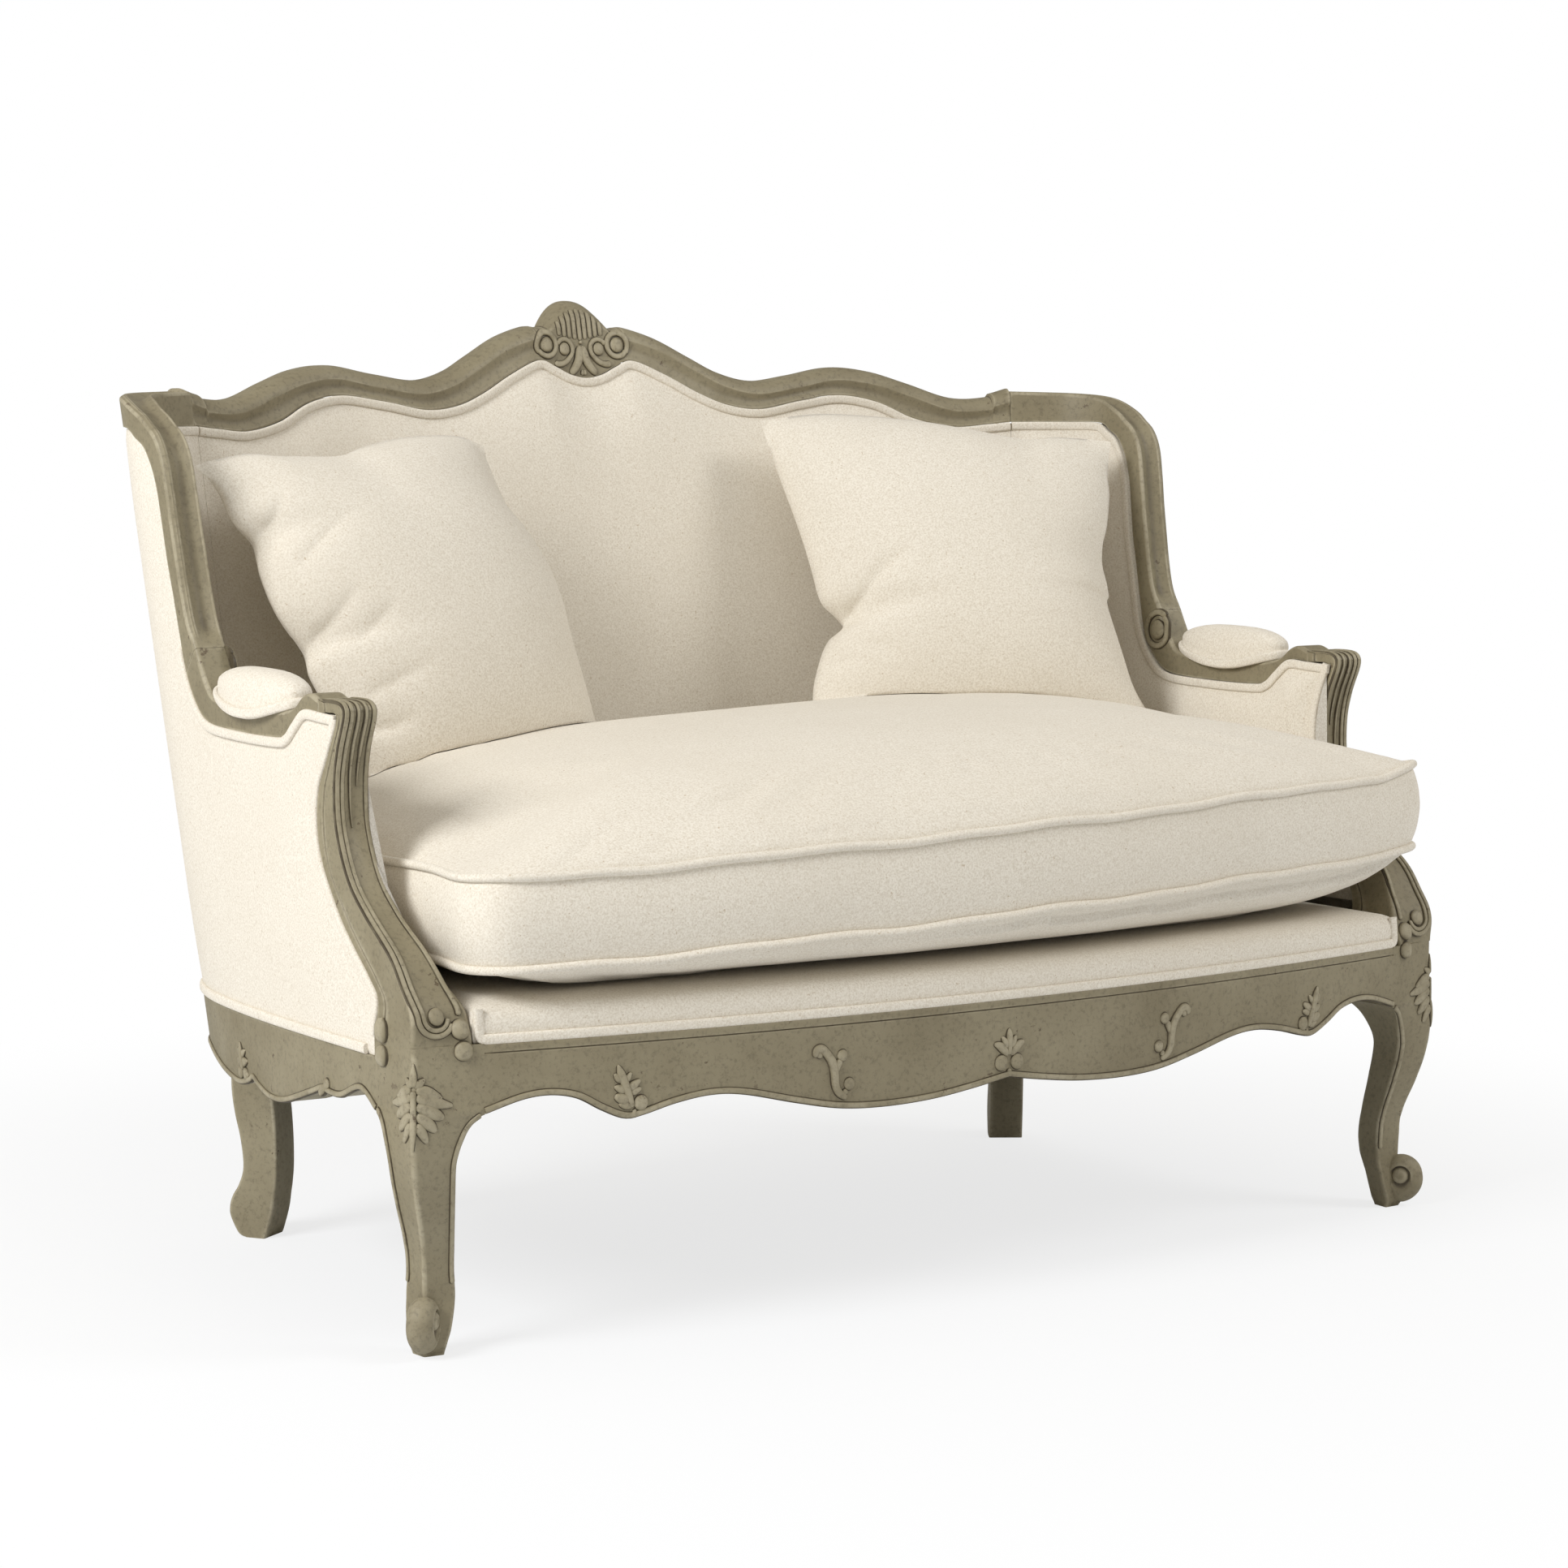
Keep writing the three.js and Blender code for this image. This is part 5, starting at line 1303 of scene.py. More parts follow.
class SETTEE_OT_front_rail(bpy.types.Operator):
    """Adds the bowed and scalloped front rail with its carvings"""
    bl_idname = "settee.front_rail"
    bl_label = "Front rail"

    def execute(self, context):
        across = np.linspace(-1, 1, 601) * leg_block_half
        low = front_rail_low(across)[:, None]
        line = seat_rail_top - 9.5 * mm
        thickness = 30 * mm
        face = np.linspace(0, 1, 24)
        cut = np.array([-0.9, -0.35, 0.35, 0.9]) * mm
        height = np.concatenate([low + (line - 2 * mm - low) * face, line + cut + 0 * low,
                                 seat_rail_top - np.array([6, 3, 1.5, 0]) * mm + 0 * low], 1)
        sunk = np.concatenate([np.zeros(24), [0, 1.0, 1.0, 0], [0, 0, 0.3, 1.5]]) * mm
        front = np.stack(np.broadcast_arrays(across[:, None], bow_back(across)[:, None] + sunk, height), -1)
        behind = front[:, ::-1][:, ::5].copy()
        behind[..., 1] = bow_back(across)[:, None] + thickness
        rail = bent_grid("front_rail_carved", closed(np.concatenate([front, behind], 1)))
        dress(rail, "painted_wood", stands_for=("front_rail",))
        lumps = [stroke(rows, rail_face) for rows in front_rail_strokes()]
        across = across[::2]
        edge = np.stack([across, bow_back(across), front_rail_low(across) + bead_lift], 1)
        slope = np.gradient(bow_back(across), across)
        normal = unit(np.stack([slope, -np.ones_like(slope), 0 * slope], 1))
        lumps.append(edge_bead(edge, normal))
        dress(carving("front_rail_carving", lumps), "painted_wood")
        return {"FINISHED"}


side_rail_strokes = [
    [(33.5, 263, 0.9, 1.2), (31.5, 254, 4.6, 3), (29.5, 243, 5, 3.4), (28, 233, 3.6, 2.6)],
    [(31, 249, 3.8, 2.4), (36, 252, 4.2, 2.4), (43, 255, 1.4, 1.2)],
    [(30, 240, 4.6, 2.6), (37, 242, 5.2, 2.6), (45, 243, 2, 1.4)],
    [(30, 249, 3.8, 2.4), (25, 252, 4.2, 2.4), (19, 256, 1.4, 1.2)],
    [(28, 241, 4.6, 2.6), (22, 243, 5.2, 2.6), (14, 245, 2, 1.4)],
    [(35.5, 230, 7, 3)], [(20.5, 230, 7, 3)],
    [(-172, 239, 3.4, 2.2), (-181, 244, 4.2, 2.8), (-190, 251, 4, 2.6)], [(-191, 252, 6, 3.2)],
]


class SETTEE_OT_side_rails(bpy.types.Operator):
    """Adds the scalloped side rails and the plain rear rail"""
    bl_idname = "settee.side_rails"
    bl_label = "Side and rear rails"

    def execute(self, context):
        first = float(station_at("y", leg_block_depth, cloth_line))
        station = np.linspace(first, side_rail_end, 320)
        back = wall_outline(station, cloth_line)[1]
        low = rail_low(back / seat_depth, side_rail_shares)[:, None]
        face = np.linspace(0, 1, 30)
        heights = np.concatenate([low + (cloth_line - low) * face,
                                  np.full((len(station), 1), cloth_line),
                                  np.full((len(station), 2), seat_rail_top),
                                  low + (seat_rail_top - low) * np.linspace(1, 0, 5)[1:]], 1)
        depths = np.concatenate([np.zeros(30), [cloth_rebate] * 2, [rail_depth] * 5])
        rail = bent_grid("side_rail_carved_right", closed(wall(station[:, None], heights, depths)))
        pair(rail, "painted_wood", "side_rail")
        lumps = [stroke(rows, side_face) for rows in side_rail_strokes]
        edge = low[:, 0] + bead_lift
        path = wall(station, edge, 0)
        lumps.append(edge_bead(path, unit(path - wall(station, edge, mm))))
        pair(carving("side_rail_carving_right", lumps), "painted_wood")
        station = np.linspace(-rear_rail_end, rear_rail_end, 161)
        low = seat_rail_top - rear_rail_share * rail_drop
        heights = np.array([low, low + 2 * mm, cloth_line - 2 * mm, cloth_line, cloth_line, seat_rail_top,
                            seat_rail_top, low])
        eased_edge = 1.5 * mm
        depths = np.array([eased_edge, 0, 0, eased_edge, cloth_rebate, cloth_rebate, rail_depth, rail_depth])
        rear = bent_grid("rear_rail_shaped", closed(wall(station[:, None], heights, depths)))
        dress(rear, "painted_wood", stands_for=("rear_rail",))
        return {"FINISHED"}


# Upholstery fixed to the frame

cover_base = cloth_line + join_gap
cover_back_depth = 9 * mm
cover_front_depth = 1.5 * mm
pad_base = 0.354
pad_back_depth = 34 * mm
pad_rim_depth = 40 * mm
pad_flat_rim = 10 * mm
cloth_edge_drop = 2.5 * mm
station_inset = 0.006


def side_columns(steps):
    """Stations and top edge of the side's cloth, from the ear to the front of the arm."""
    rows = smooth_rows(side_table, np.linspace(station_inset, arm_end, steps))
    return rows[:, 2], rows[:, 3] - cloth_edge_drop


def back_columns(steps):
    """Stations and top edge of the back's cloth, from ear to ear."""
    across = np.linspace(-ear_half_width, ear_half_width, steps)
    top, low = crest_edges(across)
    limit = ear_station - station_inset
    return np.clip(crest_station(across, top), -limit, limit), low - cloth_edge_drop


def two_faced(stations, heights, front_depth, back_depth, coarse=6):
    """Both faces of a panel. The hidden one has fewer rows."""
    front = wall(stations, heights, front_depth)
    back = wall(stations[:, ::-1][:, ::coarse], heights[:, ::-1][:, ::coarse], back_depth)
    return closed(np.concatenate([front, back], 1))


def crowned(distance, crown, roll):
    """How far a pad stands out at a distance from its edge."""
    return crown * (1 - np.exp(-np.maximum(distance - pad_flat_rim, 0) / roll))


def back_pad_points():
    """Both faces of the back's pad, crowned away from its edges."""
    station, top = back_columns(141)
    heights = pad_base + (top[:, None] - pad_base) * closer_at_ends(41)
    stations = np.broadcast_to(station[:, None], heights.shape)
    face = wall(stations, heights, 0)
    distance = distance_to(face, np.concatenate([face[:, -1], face[0], face[-1]], 0))
    distance = np.minimum(distance, heights - pad_base)
    depth = pad_rim_depth + crowned(distance, 26 * mm, 38 * mm)
    easing_passes = 14
    for _ in range(easing_passes):
        depth[2:-2, 2:-2] = (depth[1:-3, 2:-2] + depth[3:-1, 2:-2] + depth[2:-2, 1:-3] + depth[2:-2, 3:-1]) / 4
    return two_faced(stations, heights, depth, pad_back_depth, 8)


inner_cloth_inset = 9 * mm


def post_cloth(inner):
    """Heights down the post and how far back its cloth ends there. The inner cloth runs over to its front."""
    rows = all_rows(post_shares, 400)
    if inner:
        return seat_rail_top + rows[:, 1] * post_span, rows[:, 0] * seat_depth + inner_cloth_inset
    return seat_rail_top + rows[:, 3] * post_span, rows[:, 2] * seat_depth


def side_panel(base, rows, inner):
    """Stations and heights of a side panel, which ends beside the post, and their distance from its edge."""
    front_columns, inset, post_middle = 26, 3 * mm, 0.5
    station, top = side_columns(150)
    kept = station < station_at("y", post_shares[:, 2].max() * seat_depth + inset, post_middle)
    station, top = station[kept], top[kept]
    share = closer_at_ends(rows)
    heights = base + (top[:, None] - base) * share
    stations = np.broadcast_to(station[:, None], heights.shape)
    ends = base + (top[-1] - base) * share
    level, back = post_cloth(inner)
    limit = station_at("y", np.interp(ends, level[::-1], back[::-1]) + inset, ends)
    step = np.linspace(0, 1, front_columns + 1)[1:, None]
    front_stations = station[-1] + (limit - station[-1]) * step
    stations = np.concatenate([stations, front_stations], 0)
    heights = np.concatenate([heights, np.broadcast_to(ends, front_stations.shape)], 0)
    face = wall(stations, heights, 0)
    outline = np.concatenate([face[:, -1], face[0], face[-1], face[:, 0]], 0)
    return stations, heights, distance_to(face, outline)


class SETTEE_OT_covers(bpy.types.Operator):
    """Adds the outside cloth of the sides and the back"""
    bl_idname = "settee.covers"
    bl_label = "Outside covers"

    def execute(self, context):
        stations, heights, distance = side_panel(cover_base, 31, False)
        swell = 3 * mm * (1 - np.exp(-distance / (60 * mm)))
        tucked = 1.5 * mm * np.exp(-distance / (4 * mm))
        points = two_faced(stations, heights, cover_front_depth - swell + tucked, cover_back_depth)
        pair(bent_grid("side_cover_linen_right", points), "linen", "side_cover")
        station, top = back_columns(121)
        heights = cover_base + (top[:, None] - cover_base) * np.linspace(0, 1, 31)
        stations = np.broadcast_to(station[:, None], heights.shape)
        points = two_faced(stations, heights, cover_front_depth, cover_back_depth)
        dress(bent_grid("back_cover_linen", points), "linen", stands_for=("back_cover",))
        return {"FINISHED"}


class SETTEE_OT_pads(bpy.types.Operator):
    """Adds the padded inside of the back, wings and arms"""
    bl_idname = "settee.pads"
    bl_label = "Inside pads"

    def execute(self, context):
        stations, heights, distance = side_panel(pad_base, 41, True)
        depth = pad_rim_depth + crowned(distance, 16 * mm, 34 * mm)
        points = two_faced(stations, heights, depth, pad_back_depth)
        pair(bent_grid("side_pad_linen_right", points), "linen", "side_pad")
        dress(bent_grid("back_pad_linen", back_pad_points()), "linen", stands_for=("back_pad",))
        return {"FINISHED"}


deck_half = 0.610
deck_front_inset = 4 * mm
deck_side_station = 8


def deck_outline(inset, count=60):
    """The seat deck's outline: along the bowed front, then round the wall at the back."""
    half = deck_half - inset
    across = np.linspace(-half, half, count)
    front = np.stack([across, bow_back(across, deck_front_inset + inset)], 1)
    stations = np.concatenate([np.linspace(deck_side_station, 0, count),
                               -np.linspace(0, deck_side_station, count)[1:]])
    rear = wall(stations, seat_rail_top, pad_back_depth + inset)[:, :2]
    rear[:, 0] = np.clip(rear[:, 0], -half, half)
    return np.concatenate([front, rear], 0)


class SETTEE_OT_seat_deck(bpy.types.Operator):
    """Adds the sprung seat deck with its cloth band"""
    bl_idname = "settee.seat_deck"
    bl_label = "Seat deck"

    def execute(self, context):
        base, thickness = seat_rail_top + join_gap, 41.7 * mm
        rings = []
        for inset, height in ((2, 0), (0.5, 4), (0, 9), (-0.5, 16), (0.5, 23), (3, 29), (8, 33.7), (14, 36),
                              (24, 38), (40, 40)):
            outline = deck_outline(inset * mm)
            rings.append(np.column_stack([outline, np.full(len(outline), base + height * mm)]))
        edge = rings[-1]
        centre = edge.mean(0)
        for scale in (0.85, 0.6, 0.3, 0.05):
            ring = centre + (edge - centre) * scale
            ring[:, 2] = base + thickness
            rings.append(ring)
        deck = bent_grid("seat_deck_linen", closed(np.array(rings)))
        dress(deck, "linen", stands_for=("seat_deck",))
        return {"FINISHED"}


def arm_top_at(back):
    """The height of the arm rail's top at places so far back."""
    rows = smooth_rows(side_table, np.linspace(wing_end, arm_end, 200))
    backs = wall_outline(rows[:, 0], rows[:, 1])[1]
    return np.interp(back, backs[::-1], rows[::-1, 1])


def arm_pad_rings():
    """Rings up the right arm pad, from its seat on the rail."""
    front, rear = 0.326 * seat_depth, 0.612 * seat_depth
    half_width, thickness, hang = 27 * mm, 40 * mm, 12 * mm
    turn = np.linspace(0, 2 * math.pi, 97)[:-1]
    across = np.sign(np.cos(turn)) * np.abs(np.cos(turn)) ** 0.7
    along = np.sign(np.sin(turn)) * np.abs(np.sin(turn)) ** 0.9
    rings = []
    for scale, rise in ((0.9, 0), (0.97, 0.03), (0.975, 0.24), (0.958, 0.3), (0.965, 0.37), (0.96, 0.45),
                        (0.935, 0.56), (0.88, 0.66), (0.8, 0.76), (0.69, 0.85), (0.55, 0.925), (0.4, 0.97),
                        (0.2, 0.995), (0.02, 1)):
        back = (front + rear) / 2 + along * (rear - front) / 2 * scale
        base = arm_top_at(back) + join_gap
        middle = wall(station_at("y", back, base), base, wood_depth / 2)
        lowered = hang * np.abs(across) ** 2 * np.clip(1 - along ** 2, 0, 1) * (1 - rise)
        rings.append(np.column_stack([middle[:, 0] + across * half_width * scale, middle[:, 1],
                                      base + rise * thickness - lowered]))
    return np.array(rings)


class SETTEE_OT_arm_pads(bpy.types.Operator):
    """Adds the domed pads on the arms"""
    bl_idname = "settee.arm_pads"
    bl_label = "Arm pads"

    def execute(self, context):
        pair(bent_grid("arm_pad_linen_right", closed(arm_pad_rings())), "linen", "arm_pad")
        return {"FINISHED"}


welt_step = 0.003


def welt_section(sizes):
    """Section of a broad welt, in across and outwards."""
    half, square, sunk = sizes.welt_width / 2, 0.7, 1.5 * mm
    turn = np.linspace(math.pi, 0, 15)
    out = np.sign(np.cos(turn)) * np.abs(np.cos(turn)) ** square * half
    up = np.abs(np.sin(turn)) ** square * sizes.welt_height
    return np.concatenate([np.stack([out, up], 1), [[half * 0.9, -sunk], [-half * 0.9, -sunk]]])


def evened(path, passes=6):
    """A path in even steps by all its columns, with its corners rounded and its ends kept."""
    length = length_along(path)
    path = at_lengths(path, length, np.linspace(0, length[-1], max(int(length[-1] / welt_step), 8)))
    for _ in range(passes):
        path[1:-1] = (path[:-2] + 2 * path[1:-1] + path[2:]) / 4
    return path


def welt(name, path, normal, shift, sizes):
    """A welt beside a line where cloth meets wood."""
    tangent = unit(np.gradient(path, axis=0))
    path = path + unit(np.cross(tangent, normal)) * shift
    return bent_grid(name, closed(swept(path, normal, welt_section(sizes))), 60)


def wall_welt(name, rows, depth, shift, sizes):
    """A welt along stations and heights of the wall, on its inside or its outside."""
    rows = evened(np.column_stack([wall(*rows.T, depth), rows]))
    station, height = rows[:, 3], rows[:, 4]
    path = wall(station, height, depth)
    side = mm if depth > wood_depth / 2 else -mm
    return welt(name, path, unit(wall(station, height, depth + side) - path), shift, sizes)


def cloth_line_rows(start, low, inner):
    """The line where the side's cloth meets the wood, from a row of the side table down to a height."""
    rows = smooth_rows(side_table, np.linspace(start, arm_end, 260))[:, 2:]
    level, back = post_cloth(inner)
    kept = (level > low) & (level < rows[-1, 1] - 1.5 * mm)
    post = np.stack([station_at("y", back[kept], level[kept]), level[kept]], 1)
    return np.concatenate([rows, post], 0)


class SETTEE_OT_welts(bpy.types.Operator):
    """Adds the welts where cloth meets wood"""
    bl_idname = "settee.welts"
    bl_label = "Welts"

    def execute(self, context):
        sizes = context.scene.settee_sizes
        half = sizes.welt_width / 2
        inner_depth = pad_rim_depth + 0.5 * mm
        across = np.linspace(-1, 1, 400) * (ear_half_width - 2 * mm)
        top, low = crest_edges(across)
        rows = np.stack([crest_station(across, top), low - half], 1)
        dress(wall_welt("crest_welt", rows, inner_depth, 0, sizes), "linen")
        rows = cloth_line_rows(0.02, pad_base + 2 * mm, True)
        pair(wall_welt("inner_welt_right", rows, inner_depth, half, sizes), "linen")
        rows = cloth_line_rows(wing_end - 0.6, seat_rail_top + 2 * mm, False)
        pair(wall_welt("outer_welt_right", rows, 0.4 * mm, -half, sizes), "linen")
        first, last = float(station_at("y", 0.062, cloth_line)), 3.5
        rows = np.stack([np.linspace(first, last, 150), np.full(150, cover_base + half)], 1)
        pair(wall_welt("side_rail_welt_right", rows, 0.2 * mm, 0, sizes), "linen")
        across = np.linspace(-1, 1, 420) * 603.5 * mm
        level = np.full(len(across), seat_rail_top + 3.6 * mm)
        front = np.stack([across, bow_back(across, 3.2 * mm), level], 1)
        upturn = np.linspace(1, 0, 12)[:-1, None] ** 0.8 * [0, 3 * mm, 30 * mm]
        path = evened(np.concatenate([front[:1] + upturn, front, front[-1:] + upturn[::-1]]), passes=4)
        normal = np.broadcast_to([0, -1.0, 0], path.shape)
        dress(welt("deck_welt", path, normal, 0, sizes), "linen")
        ring = arm_pad_rings()[1]
        ring = ring + unit((ring - ring.mean(0)) * [1, 1, 0]) * 1.2 * mm + [0, 0, 4.6 * mm]
        path = np.concatenate([ring, ring[:1]])
        outward = unit((path - ring.mean(0)) * [1, 1, 0] + [0, 0, 4 * mm])
        pad_welt = closed(swept_ring(path, outward, welt_section(sizes)))
        pair(bent_grid("arm_pad_welt_right", pad_welt, 60), "linen")
        return {"FINISHED"}


settle_frames = 20


def settle(piece, held, pressure, slack, cap, stiff, loose):
    """Lets a padded cover billow over its filling while the vertices in held keep their places.
    Only the loose vertices have slack, or are tight where it is below zero, and none moves beyond its cap."""
    scene = bpy.context.scene
    before = places_of(piece.data)
    for name, members in (("seams", held), ("slackened", loose)):
        piece.vertex_groups.new(name=name).add([int(index) for index in members], 1.0, "REPLACE")
    pick(piece)
    bpy.ops.object.modifier_add(type="CLOTH")
    cover = piece.modifiers[-1]
    cover.settings.quality = 6
    cover.settings.mass = 0.3
    cover.settings.tension_stiffness = cover.settings.compression_stiffness = 14
    cover.settings.shear_stiffness = 5
    cover.settings.bending_stiffness = stiff
    cover.settings.vertex_group_mass = "seams"
    cover.settings.use_pressure = True
    cover.settings.uniform_pressure_force = pressure
    cover.settings.vertex_group_shrink = "slackened"
    cover.settings.shrink_min = 0
    cover.settings.shrink_max = -slack
    cover.settings.effector_weights.gravity = 0
    cover.collision_settings.use_collision = False
    cover.point_cache.frame_start, cover.point_cache.frame_end = 1, settle_frames
    for frame_number in range(1, settle_frames + 1):
        scene.frame_set(frame_number)
    after = places_of(piece.evaluated_get(bpy.context.evaluated_depsgraph_get()).data)
    piece.modifiers.remove(cover)
    piece.vertex_groups.clear()
    scene.frame_set(1)
    moved = after - before
    far = np.linalg.norm(moved, axis=1, keepdims=True)
    moved *= np.minimum(1, cap[:, None] / np.maximum(far, 1e-9))
    piece.data.vertices.foreach_set("co", (before + moved).astype(np.float32).ravel())
    piece.data.update()


def near_lines(points, lines, reach):
    """Which points are within reach of the lines."""
    tree = KDTree(sum(len(line) for line in lines))
    for index, place in enumerate(np.concatenate(lines)):
        tree.insert(place, index)
    tree.balance()
    return [index for index, place in enumerate(points) if tree.find(place)[2] < reach]


cushion_left, cushion_right = -0.603, 0.640
cushion_base, cushion_low_seam, cushion_top_seam, cushion_top = 0.3566, 0.4046, 0.4956, 0.5886
cushion_left_corner, cushion_right_corner = 42 * mm, 30 * mm
cushion_overhang = 11 * mm
cushion_depth = 76 * mm
cushion_rear_half = 0.611
cushion_tilt = 0.035
cushion_plump_power = 0.55
cushion_stations = np.array([[10, 9.3, 8.5, 7.7, 7, 6.4, 5.8, 5.2, 4.6, 4, 3.2, 2.4, 1.4, 0.5]]).T
piping_out = 2.4 * mm
cushion_voxel = 7 * mm


def rolled(values, passes):
    """Values round a closed ring, each drawn towards its neighbours again and again."""
    for _ in range(passes):
        values = (np.roll(values, 1, axis=0) + 2 * values + np.roll(values, -1, axis=0)) / 4
    return values


def cushion_outline(height):
    """Places round the cushion's middle: across, back, and two shares that reach one at its edges."""
    left, right = cushion_left, cushion_right
    across = np.linspace(-1, 1, 110)
    front_x = (left + right) / 2 + across * (right - left) / 2
    corner = np.where(across < 0, cushion_left_corner, cushion_right_corner)
    past = np.clip(np.maximum(front_x - right, left - front_x) + corner, 0, corner)
    front_y = bow_back(front_x, -cushion_overhang) + corner - np.sqrt(corner ** 2 - past ** 2)
    front = np.stack([front_x, front_y, across, np.full(len(across), -1.0)], 1)
    stations = all_rows(cushion_stations, 90)[:, 0]
    side = wall(stations, height, cushion_depth)
    rear = np.stack([np.minimum(side[:, 0], cushion_rear_half), side[:, 1], np.minimum(stations / 5, 1),
                     np.minimum(2 * (10 - stations) / 5 - 1, 1)], 1)
    other = rear[::-1].copy()
    other[:, 0] = np.maximum(-other[:, 0], left)
    other[:, 2] *= -1
    outline = np.concatenate([front, rear, other, front[:1]], 0)
    length = length_along(outline[:, :2])
    return rolled(at_lengths(outline, length, np.linspace(0, length[-1], 441)[:-1]), 6)


def cushion_seam_rise(outline):
    """How far the seams lift at the front corners, dip beside them and wave elsewhere, in mm."""
    on_left = outline[:, 0] < 0
    corner_x = np.where(on_left, cushion_left, cushion_right) + np.where(on_left, 12, -12) * mm
    from_corner = np.hypot(outline[:, 0] - corner_x, outline[:, 1] - bow_back(0.61, -cushion_overhang))
    lift = 7 * np.exp(-(from_corner / 0.034) ** 2) - 4 * np.exp(-((from_corner - 0.075) / 0.026) ** 2)
    wave = 1.3 * np.sin(outline[:, 0] * 21 + 1) + 0.9 * np.sin(outline[:, 0] * 47 + outline[:, 1] * 30)
    return lift * np.where(on_left, 0.3, 1), wave


def cushion_form():
    """Rings of the seat cushion from below to above, and the two of them that are its seams."""
    middle_height = (cushion_low_seam + cushion_top_seam) / 2
    outline = cushion_outline(middle_height)
    middle_y = (bow_back(0.0) + wall(0, middle_height, cushion_depth)[1]) / 2
    lift, wave = cushion_seam_rise(outline)

    def ring(scale, level, rise, power):
        plump = (1 - np.abs(outline[:, 2] * scale) ** power) * (1 - np.abs(outline[:, 3] * scale) ** power)
        share = rolled(np.maximum(plump, 0) ** cushion_plump_power, int(min(30 / scale, 400)))
        x = outline[:, 0] * scale
        y = middle_y + (outline[:, 1] - middle_y) * scale
        tilt = cushion_tilt * (1 - share if rise < 0 else 1)
        seam = lift * (1 if level > middle_height else 0.4) + wave
        near_seam = np.clip((scale - 0.8) / 0.2, 0, 1) ** 2
        return np.stack([x, y, level + rise * share + x * tilt + near_seam * seam * mm], 1)

    below = [ring(scale, cushion_low_seam, cushion_base - cushion_low_seam, 9) for scale in
             (0.02, 0.3, 0.5, 0.65, 0.78, 0.87, 0.93, 0.965, 0.985)]
    boxing = [ring(1 + bulge, cushion_low_seam + share * (cushion_top_seam - cushion_low_seam), 0, 1)
              for share, bulge in
              ((0, 0), (0.12, 0.007), (0.3, 0.014), (0.5, 0.017), (0.7, 0.014), (0.88, 0.007), (1, 0))]
    above = [ring(scale, cushion_top_seam, cushion_top - cushion_top_seam, 3.0) for scale in
             (0.99, 0.975, 0.95, 0.92, 0.88, 0.83, 0.77, 0.7, 0.62, 0.53, 0.43, 0.32, 0.2, 0.08, 0.01)]
    return np.array(below + boxing + above), (boxing[0], boxing[-1])


class SETTEE_OT_seat_cushion(bpy.types.Operator):
    """Adds the loose seat cushion, with its piping"""
    bl_idname = "settee.seat_cushion"
    bl_label = "Seat cushion"

    def execute(self, context):
        rings, seams = cushion_form()
        cushion = bent_grid("seat_cushion_linen", closed(rings), 80)
        pick(cushion)
        bpy.ops.object.modifier_add(type="REMESH")
        cushion.modifiers[-1].mode = "VOXEL"
        cushion.modifiers[-1].voxel_size = cushion_voxel
        bpy.ops.object.modifier_apply(modifier=cushion.modifiers[-1].name)
        bpy.ops.object.shade_smooth()
        places = places_of(cushion.data)
        normals = np.array([vertex.normal[:] for vertex in cushion.data.vertices])
        boxing = np.flatnonzero((np.abs(normals[:, 2]) < 0.6) & (places[:, 1] < settee_shift + 0.25))
        cap = np.full(len(places), 3 * mm)
        cap[boxing] = 9 * mm
        settle(cushion, near_lines(places, seams, 6 * mm), pressure=3.0, slack=0.035, cap=cap, stiff=2.5,
               loose=boxing)
        dress(cushion, "linen", body="cushion", stands_for=("seat_cushion",))
        turn = np.linspace(0, 2 * math.pi, 13)[:-1]
        section = np.stack([np.cos(turn), np.sin(turn)], 1) * context.scene.settee_sizes.piping_radius
        for name, path in zip(("cushion_piping_low", "cushion_piping_top"), seams):
            path = path + unit((path - path.mean(0)) * [1, 1, 0]) * piping_out
            path = np.concatenate([path, path[:1]], 0)
            points = closed(swept_ring(path, np.broadcast_to([0, 0, 1.0], path.shape), section))
            dress(bent_grid(name, points, 60), "linen", body="cushion")
        return {"FINISHED"}


